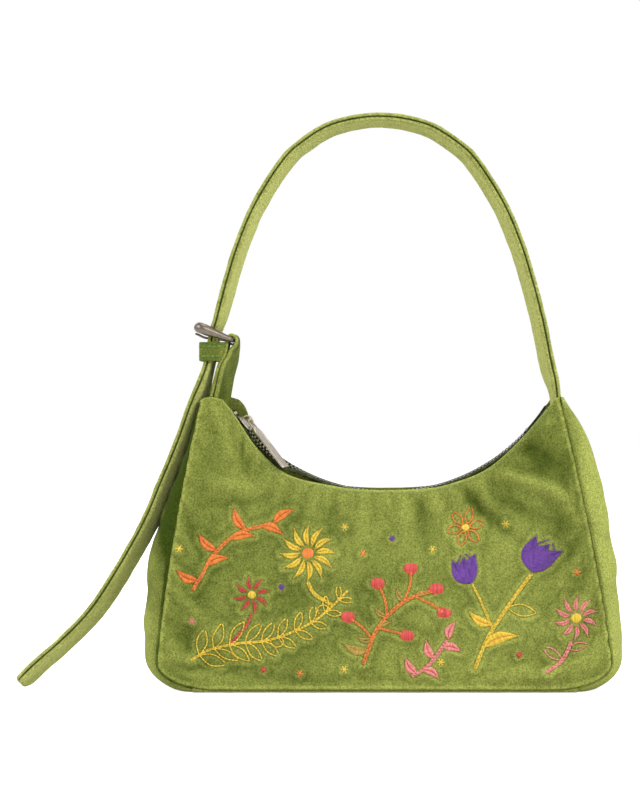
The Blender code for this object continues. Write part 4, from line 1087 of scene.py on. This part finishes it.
def strap_twist(place, normal):
    flank = mix(radians(5), radians(10 if place.x > STRAP_X else 8.5), abs(normal.x))
    if place.x > STRAP_X:
        return mix(radians(3.5), flank, ease((place.y - 156) / 22))
    if place.y > KEEPER_HIGH:
        return mix(radians(3), flank, ease((place.y - KEEPER_HIGH) / (216 - KEEPER_HIGH)))
    return mix(radians(3), radians(14), ease((181 - place.y) / 22))


def strap_place(length, y, depth):
    """A point of the strap: along it, across it and below its outer face."""
    point, normal = route_at(length)
    forward = 0.0
    if point.x < STRAP_X and point.y < KEEPER_LOW:
        forward = TAIL_FORWARD * ((KEEPER_LOW - point.y) / KEEPER_LOW) ** 2
    share = 1.0
    if point.x > STRAP_X:
        share = mix(ROOT_NARROW, 1.0, ease((point.y - ROOT_Z) / ROOT_TAPER))
    y *= share
    shift = depth + (y + STRAP_HALF) * tan(strap_twist(point, normal))
    flat = point + normal * shift
    return flat.x, y - forward, flat.y


def strap_section(layer):
    """Outline of one layer as (depth, across): a flat band with full, rounded lips."""
    low, high = (0.0, LAYER + 0.14) if layer == 0 else (LAYER + GROOVE - 0.14, 2 * LAYER + GROOVE)
    return stretched(rounded(low, high, -STRAP_HALF, STRAP_HALF, 1.1, 6), 3, 6)


def make_strap_piece(name, start, end, layer, nodes, round_start=False):
    section = strap_section(layer)
    total = max(int((end - start) / STRAP_STEP), 4)
    stations = [mix(start, end, k / total) for k in range(total + 1)]
    rings = []
    for s in stations:
        ring = []
        narrow = 1.0
        if round_start:
            narrow = sqrt(max(1 - (1 - min((s - start + 0.05) / 4.5, 1)) ** 2, 0.05))
        for depth, y in section:
            wave = 0.22 * ripple(s, y, depth * 2, 9, 6.0 + layer) + 0.12 * ripple(s, y, depth, 3.5, 8.0)
            lip = 0.18 * ripple(s, copysign(1, y), layer * 3, 5, 9.0) * ease((abs(y) - 8) / 2)
            sink = -0.25 * exp(-((abs(y) - 7.6) / 0.5) ** 2)
            face = -1 if (depth < 1 and layer == 0) else (1 if (depth > 3.5 and layer == 1) else 0)
            ring.append(strap_place(s, (y + copysign(lip, y)) * narrow, depth + face * (wave + sink)))
        rings.append(ring)
    piece = loft(name, rings, LIT_STRAP_GREEN)
    # Painted tone: lighter lips, the groove painted dark as shade, the inner face painted light where it faces a
    # lamp.
    tone = []
    for depth, y in section:
        lip = ease((abs(y) - 8.3) / 1.2)
        groove = 1 - ease(abs(depth - LAYER - GROOVE / 2) / 0.9)
        face = 0.75 if depth > 4 else 0.15
        tone.append(mix(face, mix(0.35, -1.0, groove), lip))
    paint_shade_by_form(piece, 0.7, np.array(tone * len(rings)))
    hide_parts(*nodes)
    return piece


def make_straps():
    split = length_at(186.0)
    total = ROUTE[-1][0]
    for layer, word in ((0, "outer"), (1, "inner")):
        tail = make_strap_piece("tail_band_" + word, 0.0, split, layer, ["tail_" + word], True)
        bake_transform(tail)
        nodes = [n + word for n in ("strap_end_", "strap_bend_left_", "strap_", "strap_bend_right_", "strap_root_")]
        arch = make_strap_piece("strap_band_" + word, split + 0.1, total, layer, nodes)
        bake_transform(arch)


# Buckle, tab and keeper.

def make_buckle():
    along = Vector((cos(FRAME_ANGLE), 0, sin(FRAME_ANGLE)))
    below = Vector((-along.z, 0, along.x))
    heel = Vector((HEEL_X, 0, HEEL_Z))
    outline = stretched(rounded(0, FRAME_LEN, -FRAME_HALF, FRAME_HALF, 3.0, 10), 3, 12)
    points = [heel + along * a + Vector((0, b, 0)) for a, b in outline]
    radii = [mix(HEEL_WIRE, END_WIRE, ease(a / FRAME_LEN) ** 0.8) for a, _ in outline]
    bar = tube("buckle_bar", points, radii, GUN_LOOK, 20, closed=True)
    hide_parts("buckle_frame")
    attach(bar, "buckle")
    ring, depth = HEEL_WIRE + GAP + WIRE, 2.8 + GAP + 0.9
    path = []
    for k in range(28):
        angle = radians(-50) + radians(285) * (1 - k / 27)
        path.append(heel + below * ring * cos(angle) - along * ring * sin(angle))
    run = [tuple(path[-1])]
    for reach, low in ((0.25, 0.43), (0.55, 0.75), (0.8, 1.05)):
        run.append(tuple(heel + along * FRAME_LEN * reach + below * depth * low))
    run.append(tuple(heel + along * FRAME_LEN + below * depth))
    run.append(tuple(heel + along * (FRAME_LEN + 1.7) + below * depth))
    for k in range(1, 26):
        path.append(Vector(spline(run, k / 25)))
    radii = [WIRE] * len(path)
    radii[-1], radii[-2] = 0.7 * WIRE, 0.9 * WIRE
    prong = tube("prong_wire", path, radii, GUN_LOOK, 12)
    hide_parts("buckle_prong")
    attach(prong, "prong")


TAB_LEFT = ((152.0, -98.4), (161.6, -96.8), (168.8, -95.0), (176.0, -93.2), (179.4, -92.0), (184.0, -89.0),
            (192.0, -88.0))
TAB_RIGHT = ((152.0, -85.5), (160.8, -85.7), (172.0, -84.0), (180.8, -81.7), (187.2, -81.0), (192.0, -81.0))


TAB_FOOT = 152.0


def tab_half(z):
    return mix(7.6, 10.0, ease((z - 164) / 10))


def make_tab():
    """One velvet band: up the left, over the heel bar, down the right with its front edge swung left."""
    thick, steps = 1.8, 26
    rows = []
    for k in range(steps + 1):
        z = mix(TAB_FOOT, HEEL_Z, k / steps)
        x = table(TAB_LEFT, z, False) + thick / 2
        rows.append(((x, z), (x, z)))
    for k in range(1, 16):
        angle = pi * (1 - k / 16)
        r = 3.5 - thick / 2
        p = (HEEL_X + r * cos(angle), HEEL_Z + r * sin(angle))
        rows.append((p, p))
    for k in range(steps + 1):
        z = mix(HEEL_Z, TAB_FOOT, k / steps)
        back = table(TAB_RIGHT, z, False) - thick / 2
        swing = ease((190.6 - z) / 5)
        front = mix(back, table(TAB_LEFT, z, False) + thick * 1.5 + 0.35, swing)
        rows.append(((front, z), (back, z)))
    rings = []
    for k, (front, back) in enumerate(rows):
        before, after = rows[max(k - 1, 0)], rows[min(k + 1, len(rows) - 1)]
        z = mix(front[1], back[1], 0.5)
        half = tab_half(z)
        ring = []
        for t, y in stretched(rounded(-thick / 2, thick / 2, -half, half, thick * 0.44, 4), 3, 8):
            share = (y + half) / (2 * half)
            place = Vector((mix(front[0], back[0], share), mix(front[1], back[1], share)))
            ahead = Vector([mix(after[0][axis] - before[0][axis], after[1][axis] - before[1][axis], share)
                            for axis in (0, 1)]).normalized()
            spot = place + Vector((-ahead.y, ahead.x)) * (t + 0.12 * ripple(k * 2, y, t, 6, 2.5))
            ring.append((spot.x, y, spot.y))
        rings.append(ring)
    body = loft("tab_band", rings, SHADED_SIDE_GREEN)
    cut_z, cut_stretch = 191.2, 4.4
    cutter = tube("tab_cut", [(-92, 0, cut_z), (-77, 0, cut_z)], [1.6, 1.6], None, 24)
    for matrix in (Matrix.Translation((0, 0, -cut_z * MM)), Matrix.Diagonal((1, 1, cut_stretch, 1)),
                   Matrix.Translation((0, 0, cut_z * MM))):
        cutter.data.transform(matrix)
    cut = body.modifiers.new("slot", "BOOLEAN")
    cut.operation, cut.object, cut.solver = "DIFFERENCE", cutter, "EXACT"
    bpy.context.view_layer.update()
    mesh = bpy.data.meshes.new_from_object(body.evaluated_get(bpy.context.evaluated_depsgraph_get()))
    body.modifiers.clear()
    body.data = mesh
    mesh.shade_smooth()
    mesh.set_sharp_from_angle(angle=radians(55))
    bpy.data.objects.remove(cutter, do_unlink=True)
    # Painted shade over the tab's face, with a painted highlight along its front edge.
    lip = [-0.32 + 0.67 * ease((-vert.co.y / MM - tab_half(vert.co.z / MM) + 2.4) / 1.4) for vert in mesh.vertices]
    lay_painted_light(body, np.array(lip))
    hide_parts("buckle_tab")
    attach(body, "bag")


def keeper_shift(x, z):
    """How far the keeper leans left at a place, most at its lower right."""
    return KEEPER_SLANT * (x + 101.5) / 12.9 * (KEEPER_HIGH - z) / 10.5


def make_keeper():
    thick = 0.6
    middle = rounded(KEEPER_LEFT + thick, KEEPER_RIGHT - thick, -KEEPER_DEPTH + thick, KEEPER_DEPTH - thick,
                     2.4 - thick, 8)
    dense = []
    for (x0, y0), (x1, y1) in zip(middle, middle[1:] + middle[:1]):
        dense.append((x0, y0))
        steps = int(hypot(x1 - x0, y1 - y0) / 0.8)
        dense.extend((mix(x0, x1, k / steps), mix(y0, y1, k / steps)) for k in range(1, steps))
    rings = []
    total = len(dense)
    for k, (x, y) in enumerate(dense):
        (bx, by), (ax, ay) = dense[k - 1], dense[(k + 1) % total]
        ahead = Vector((ax - bx, ay - by)).normalized()
        out = Vector((ahead.y, -ahead.x))
        ring = []
        for t, z in rounded(-thick, thick, KEEPER_LOW, KEEPER_HIGH, 0.55, 4):
            dent = 0.0
            if t > 0:
                dent = -0.22 * sum(exp(-((z - seam) / 0.45) ** 2) for seam in KEEPER_SEAMS)
                dent += 0.12 * ripple(x, y, z, 4, 3.3)
            ring.append((x + out.x * (t + dent) - keeper_shift(x, z), y + out.y * (t + dent), z))
        rings.append(ring)
    body = loft("keeper_band", rings, GREEN, closed=True)
    # Painted shade in the keeper's hollows and painted light on its ridges, over a darker tone.
    paint_shade_by_form(body, 1.2, -0.4)
    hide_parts("keeper_loop")
    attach(body, "bag")


# Threads. A stitch has five rings of six points.
STITCH_POINTS = 30


def add_stitch(store, start, end, normal, radius, rise=0.25):
    """One thread span that dips into the cloth at both ends."""
    verts, faces = store
    a, b = Vector(start), Vector(end)
    ahead = b - a
    length = ahead.length
    if length < 0.05:
        return
    ahead.normalize()
    up = Vector(normal)
    up = (up - ahead * up.dot(ahead)).normalized()
    side = ahead.cross(up)
    first = len(verts)
    dip = min(0.2, 0.45 / length)
    for share, thick, lift in ((0.0, 0.45, -0.35), (dip, 0.95, 0.35), (0.5, 1.0, 0.35 + rise), (1 - dip, 0.95, 0.35),
                               (1.0, 0.45, -0.35)):
        centre = a.lerp(b, share) + up * lift * radius
        for k in range(6):
            angle = pi * k / 3
            verts.append(tuple(centre + (side * cos(angle) + up * sin(angle)) * radius * thick))
    for j in range(4):
        for k in range(6):
            h = (k + 1) % 6
            faces.append((first + j * 6 + k, first + j * 6 + h, first + (j + 1) * 6 + h, first + (j + 1) * 6 + k))
    faces.append(tuple(first + k for k in range(5, -1, -1)))
    faces.append(tuple(first + 24 + k for k in range(6)))


def finish_threads(name, store, material):
    piece = solid(name, store[0], store[1], material, outward=False)
    rng = random.Random(len(store[0]))
    shades = [rng.uniform(-1, 1) for _ in range(len(store[0]) // STITCH_POINTS)]
    shade = piece.data.attributes.new("shade", "FLOAT", "POINT")
    shade.data.foreach_set("value", np.repeat(np.array(shades, dtype=np.float32), STITCH_POINTS))
    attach(piece, "bag")


def front_at(x, z):
    """Point and outward normal of the front velvet at a place seen from the front."""
    def spot(px, pz):
        across = (px + TIP_LEAN * height_share(pz)) / half_width(pz)
        floor, top = seam_floor(across), mouth_at(-1, round(across, 3))
        return Vector(panel_point(-1, across, (pz - floor) / (top - floor), 0.0))
    p, px, pz = spot(x, z), spot(x + 0.6, z), spot(x, z + 0.6)
    return p, (px - p).cross(pz - p).normalized()


def mouth_stitches():
    for side, word in ((-1, "front"), (1, "back")):
        store = ([], [])
        shares = arc_shares(360)
        line, length = [], 0.0
        for share in shares:
            top = mouth_at(side, share)
            up = 1 - 1.7 / (top - seam_floor(share))
            p = Vector(panel_point(side, share, up, 0.0))
            if line:
                length += (p - line[-1][1]).length
            line.append((length, p))
        place = 1.0
        while place < length - 4:
            ends = []
            for target in (place, place + 2.9):
                k = next(i for i, item in enumerate(line) if item[0] >= target)
                t = (target - line[k - 1][0]) / (line[k][0] - line[k - 1][0])
                ends.append(line[k - 1][1].lerp(line[k][1], t))
            add_stitch(store, ends[0], ends[1], (0, side, 0.3), 0.24, 0.1)
            place += 3.8
        finish_threads("mouth_stitches_" + word, store, SEAM_THREAD)


def keeper_stitches():
    store, long, pitch = ([], []), 1.9, 3.0
    for z in KEEPER_SEAMS:
        x = -100.6
        while x < -89.6:
            left = x - keeper_shift(x, z)
            for y in (-KEEPER_DEPTH, KEEPER_DEPTH):
                add_stitch(store, (left, y, z), (left + long, y, z), (0, copysign(1, y), 0), 0.24, 0.1)
            x += pitch
        y = -9.5
        while y < 8:
            add_stitch(store, (KEEPER_LEFT, y, z), (KEEPER_LEFT, y + long, z), (-1, 0, 0), 0.24, 0.1)
            y += pitch
    finish_threads("keeper_stitches", store, BRIGHT_THREAD)


# Embroidery: sprigs, blooms and berries in plain stitched lines and satin.

class Needle:
    """Collects stitches of each colour on the front panel."""

    def __init__(self):
        self.stores = {}
        self.rng = random.Random(7)

    def span(self, colour, a, b, radius=0.36, rise=0.5):
        store = self.stores.setdefault(colour, ([], []))
        p, n = front_at(*a)
        q, m = front_at(*b)
        add_stitch(store, p, q, n + m, radius, rise)
        PRESSED.append((p + q) / 2)

    def line(self, colour, points, pitch=1.7, passes=2, spread=0.32, radius=0.34):
        """A drawn line of overlapping stitches."""
        path = [Vector(spline(points, k / (len(points) * 12))) for k in range(len(points) * 12 + 1)]
        for index in range(passes):
            offset = (index - (passes - 1) / 2) * 2 * spread
            last, travelled = None, pitch * 0.5 * index
            for before, here in zip(path, path[1:]):
                travelled += (here - before).length
                ahead = (here - before).normalized()
                spot = here + Vector((-ahead.y, ahead.x)) * (offset + self.rng.uniform(-0.06, 0.06))
                if last is None:
                    last = spot
                elif travelled >= pitch:
                    self.span(colour, last, spot, radius)
                    last, travelled = spot, 0.0

    def satin(self, colour, left, right, step=0.5):
        """Close stitches between two edges."""
        length = sum((Vector(b) - Vector(a)).length for a, b in zip(left, left[1:]))
        count = max(int(length / step), 3)
        for k in range(count + 1):
            a, b = Vector(spline(left, k / count)), Vector(spline(right, k / count))
            if (b - a).length > 0.5:
                jitter = (b - a).normalized() * self.rng.uniform(-0.12, 0.12)
                self.span(colour, a + jitter, b + jitter, 0.3, 0.8)

    def leaf(self, colour, base, angle, length, width, vein=None):
        ahead = Vector(heading(angle))
        across = Vector((-ahead.y, ahead.x))
        base = Vector(base)
        left, right, middle = [], [], []
        for k in range(7):
            t = k / 6
            bulge = sin(pi * t ** 0.8) * width / 2
            centre = base + ahead * length * t + across * 0.12 * length * sin(pi * t)
            left.append(tuple(centre + across * bulge))
            right.append(tuple(centre - across * bulge + ahead * 0.5))
            middle.append(tuple(centre))
        self.satin(colour, left, middle)
        self.satin(colour, middle, right)
        if vein:
            self.line(vein, middle, 1.6, 1, radius=0.22)

    def outline_leaf(self, colour, base, angle, length, width):
        ahead = Vector(heading(angle))
        across = Vector((-ahead.y, ahead.x))
        base = Vector(base)
        for sign in (-1, 1):
            edge = [tuple(base + ahead * length * k / 5 + across * sign * sin(pi * k / 5) * width / 2)
                    for k in range(6)]
            self.line(colour, edge, 1.8, 1, radius=0.36)

    def berry(self, colour, centre, radius):
        top, low = [], []
        for k in range(7):
            angle = pi * (1 - k / 6)
            top.append((centre[0] + radius * cos(angle), centre[1] + radius * sin(angle)))
            low.append((centre[0] + radius * cos(angle), centre[1] - radius * sin(angle)))
        self.satin(colour, top, low, 0.45)

    def daisy(self, colour, heart, centre, count, inner, outer, turn=0.0):
        for k in range(count):
            angle = turn + 360 * k / count
            c, s = heading(angle)
            self.leaf(colour, (centre[0] + inner * c, centre[1] + inner * s), angle, outer - inner, outer * 0.21)
        self.berry(heart, centre, inner * 0.75)

    def tulip(self, petal, edge, base, angle, size):
        for turn, width in ((-24, 0.5), (24, 0.5), (0, 0.6)):
            self.leaf(petal, base, angle + turn, size * (1.0 if turn else 0.9), size * width)
        self.outline_leaf(edge, base, angle, size * 1.06, size * 0.66)

    def curl(self, colour, start, angle, size):
        """A tendril that winds in on itself."""
        turn, points = radians(angle), []
        here = Vector(start)
        for k in range(10):
            points.append(tuple(here))
            step = size * (1 - k / 12) * 0.42
            here = here + Vector((cos(turn), sin(turn))) * step
            turn += 0.52
        self.line(colour, points, 1.6, 1)

    def fern(self, stem, blade, points, pairs, length):
        self.line(stem, points)
        for k in range(1, pairs + 1):
            t = k / (pairs + 1)
            here, ahead = Vector(spline(points, t)), Vector(spline(points, min(t + 0.03, 1)))
            angle = degrees(atan2(ahead.y - here.y, ahead.x - here.x))
            size = length * (1.1 - 0.6 * t)
            for sign in (-1, 1):
                self.outline_leaf(blade, tuple(here), angle + sign * 48, size, size * 0.36)


def embroider():
    needle = Needle()
    gold, orange, red, pink, purple, ochre = "gold", "orange", "red", "pink", "purple", "ochre"
    # A long fern with tendrils along the foot of the left half.
    stem = [(-106, 18), (-86, 28), (-62, 30), (-38, 40), (-20, 56)]
    needle.fern(gold, gold, stem, 10, 15)
    needle.curl(gold, (-62, 30), -70, 5.5)
    needle.curl(gold, (-30, 46), 130, 5.0)
    # A pair of purple tulips on a golden stem, on the right half.
    needle.line(gold, [(48, 14), (56, 32), (68, 50), (80, 66)], passes=3)
    needle.line(gold, [(58, 36), (52, 50), (47, 60)])
    needle.tulip(purple, purple, (80, 66), 60, 20)
    needle.tulip(purple, purple, (47, 60), 106, 16)
    needle.leaf(gold, (53, 26), 18, 20, 6.4, orange)
    needle.leaf(gold, (58, 38), 152, 14, 5.0, orange)
    needle.outline_leaf(gold, (66, 47), -8, 16, 6.0)
    # Berries on a branch in the middle.
    needle.line(orange, [(-12, 16), (-4, 36), (10, 50), (26, 56)], passes=3)
    twigs = (((-7, 30), (-20, 42)), ((1, 42), (-4, 60)), ((10, 50), (14, 68)), ((-4, 36), (12, 32)),
             ((16, 53), (32, 44)))
    for start, tip in twigs:
        needle.line(orange, [start, ((start[0] + tip[0]) / 2 + 1.5, (start[1] + tip[1]) / 2), tip], 1.8, 2)
        needle.berry(red, tip, 3.6)
        needle.leaf(ochre, start, degrees(atan2(tip[1] - start[1], tip[0] - start[0])) + 38, 8, 3.0)
    needle.berry(red, (28, 57), 3.8)
    needle.leaf(ochre, (-9, 24), 165, 14, 5.0, gold)
    # Orange leafy sprig in the upper left.
    needle.line(orange, [(-104, 56), (-94, 74), (-80, 87), (-60, 92)], passes=3)
    sprig = (((-101, 62), 158), ((-97, 70), 18), ((-91, 78), 138), ((-84, 84), 6), ((-76, 89), 118),
             ((-68, 91), -22), ((-61, 92), 34))
    for base, angle in sprig:
        needle.leaf(orange, base, angle, 13, 4.8, red if angle > 100 else None)
    # Daisies: gold in the left middle, red beside it, pink at the far right.
    needle.daisy(gold, orange, (-42, 76), 12, 4.0, 15)
    needle.line(gold, [(-42, 61), (-38, 54), (-28, 48)], passes=3)
    needle.daisy(red, gold, (-72, 54), 8, 2.8, 9.5, 10)
    needle.line(red, [(-72, 44), (-76, 36), (-84, 29)])
    needle.daisy(pink, gold, (103, 42), 10, 3.4, 12, 12)
    needle.line(pink, [(100, 30), (95, 20), (86, 11)], passes=3)
    needle.outline_leaf(pink, (95, 20), 148, 12, 4.6)
    needle.outline_leaf(pink, (98, 26), 8, 11, 4.2)
    # Pink bell sprig at the foot of the right half.
    needle.line(pink, [(14, 10), (24, 17), (34, 30)], passes=3)
    for base, angle in (((20, 14), -26), ((26, 20), 112), ((31, 26), -12), ((34, 30), 68), ((17, 12), 126)):
        needle.leaf(pink, base, angle, 10, 4.6, red)
    # An open orange bloom in outline above the middle.
    for k in range(6):
        angle = 60 * k + 12
        c, s = heading(angle)
        needle.outline_leaf(orange, (44 + 2 * c, 90 + 2 * s), angle, 9, 4.6)
    needle.berry(gold, (44, 90), 2.0)
    # Scattered seeds.
    for x, z, colour in ((-12, 76, orange), (-56, 58, purple), (-22, 14, gold), (26, 78, gold), (104, 66, orange),
                         (-104, 40, pink), (72, 22, red), (-66, 14, red), (4, 84, purple), (-22, 90, gold),
                         (66, 92, gold), (-112, 78, gold), (30, 18, gold), (-46, 12, orange)):
        for angle in (0, 60, 120):
            c, s = (2.2 * part for part in heading(angle))
            needle.span(colour, (x - c, z - s), (x + c, z + s), 0.34)
    looks = {gold: ((0.62, 0.4, 0.01), (0.9, 0.66, 0.05)), orange: ((0.62, 0.14, 0.01), (0.88, 0.26, 0.02)),
             red: ((0.45, 0.025, 0.02), (0.72, 0.07, 0.05)), pink: ((0.68, 0.17, 0.16), (0.88, 0.34, 0.3)),
             purple: ((0.06, 0.01, 0.16), (0.15, 0.03, 0.34)), ochre: ((0.3, 0.19, 0.02), (0.5, 0.34, 0.05))}
    for colour, store in needle.stores.items():
        finish_threads("embroidery_" + colour, store, thread_look("thread_" + colour, *looks[colour]))


# Stage.

def area_light(name, place, aim_height, size, power):
    """A soft box aimed at a height above the middle of the floor."""
    lamp = bpy.data.lights.new(name, "AREA")
    lamp.shape, lamp.size, lamp.size_y, lamp.energy = "RECTANGLE", size[0], size[1], power
    item = put(name, lamp)
    item.location = place
    item.rotation_euler = (Vector((0, 0, aim_height)) - Vector(place)).to_track_quat("-Z", "Y").to_euler()


def camera_ray_mix(tree, plain, seen):
    """What the camera and mirrors see, over what lights the bag."""
    path = tree.nodes.new("ShaderNodeLightPath")
    total = path.outputs["Is Camera Ray"]
    for extra in ("Is Glossy Ray", "Is Transmission Ray"):
        add = tree.nodes.new("ShaderNodeMath")
        add.operation = "MAXIMUM"
        tree.links.new(total, add.inputs[0])
        tree.links.new(path.outputs[extra], add.inputs[1])
        total = add.outputs[0]
    blend = tree.nodes.new("ShaderNodeMixShader")
    tree.links.new(total, blend.inputs["Fac"])
    tree.links.new(plain, blend.inputs[1])
    tree.links.new(seen, blend.inputs[2])
    return blend.outputs[0]


def make_stage():
    world = bpy.data.worlds.new("studio")
    bpy.context.scene.world = world
    world.use_nodes = True
    tree = world.node_tree
    tree.nodes.clear()
    soft, white = tree.nodes.new("ShaderNodeBackground"), tree.nodes.new("ShaderNodeBackground")
    soft.inputs["Strength"].default_value = 0.25
    white.inputs["Strength"].default_value = 1.0
    for node in (soft, white):
        node.inputs["Color"].default_value = (1, 1, 1, 1)
    out = tree.nodes.new("ShaderNodeOutputWorld")
    tree.links.new(camera_ray_mix(tree, soft.outputs[0], white.outputs[0]), out.inputs["Surface"])

    floor_look = bpy.data.materials.new("pale_floor")
    floor_look.use_nodes = True
    tree = floor_look.node_tree
    shader = tree.nodes["Principled BSDF"]
    shader.inputs["Base Color"].default_value = (0.7, 0.7, 0.7, 1)
    shader.inputs["Roughness"].default_value = 0.9
    glow = tree.nodes.new("ShaderNodeEmission")
    glow.inputs["Strength"].default_value = 0.85
    add = tree.nodes.new("ShaderNodeAddShader")
    tree.links.new(shader.outputs[0], add.inputs[0])
    tree.links.new(glow.outputs[0], add.inputs[1])
    mixed = camera_ray_mix(tree, shader.outputs[0], add.outputs[0])
    tree.links.new(mixed, tree.nodes["Material Output"].inputs["Surface"])
    mesh = bpy.data.meshes.new("floor")
    mesh.from_pydata([(-6, -6, 0), (6, -6, 0), (6, 6, 0), (-6, 6, 0)], [], [(0, 1, 2, 3)])
    floor = link("floor", mesh, floor_look)

    area_light("right_box", (1.5, -0.6, 0.8), 0.12, (0.8, 1.0), 17)
    area_light("left_box", (-1.4, -0.5, 0.9), 0.12, (0.7, 0.8), 14)
    area_light("front_box", (0.6, -1.9, 1.2), 0.12, (0.8, 0.6), 17.5)
    area_light("top_box", (0.1, 0.1, 1.6), 0.1, (0.9, 0.8), 8)
    area_light("back_box", (-0.5, 1.6, 0.8), 0.15, (1.2, 1.0), 9)

    lens = bpy.data.cameras.new("view")
    frame_height, aim_right = 812, 65
    lens.sensor_fit, lens.sensor_height, lens.lens = "VERTICAL", 36, 95.76
    lens.shift_x = -aim_right / frame_height
    lens.clip_start, lens.clip_end = 0.05, 30
    camera = put("view", lens)
    camera.location = (0, -1.2, 0.1555)
    camera.rotation_euler = (pi / 2, 0, 0)
    bpy.context.scene.camera = camera
    bpy.context.scene.view_settings.view_transform = "Standard"


def main():
    make_stage()
    lining_inset = VELVET + FOAM + 2 * GAP
    settle(-1)
    settle(1)
    embroider()
    for side, word in ((-1, "front"), (1, "back")):
        make_panel(word + "_velvet", side, word + "_panel")
        wadding = make_layer(word + "_wadding", side, word + "_foam", VELVET + GAP, FOAM, FOAM_LOOK,
                             0.87)
        make_layer(word + "_cotton", side, word + "_lining", lining_inset, LINING, LINING_LOOK)
    pocket = make_layer("slip_pocket", 1, "inner_pocket", lining_inset + LINING + GAP, LINING, LINING_LOOK,
                        0.42, 0.1, 0.7)
    for side, word in ((-1, "left"), (1, "right")):
        make_gusset(side, "gusset_velvet_" + word, "side_gusset_" + word)
        make_gusset(side, "gusset_cotton_" + word, "gusset_lining_" + word, False)
    make_base()
    for node, look in (("base_board", BOARD_LOOK), ("base_lining", LINING_LOOK)):
        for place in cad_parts[node].material_slots:
            place.link = "OBJECT"
            place.material = look
    make_zip()
    make_slider()
    make_pull()
    make_straps()
    make_buckle()
    make_tab()
    make_keeper()
    mouth_stitches()
    keeper_stitches()


main()
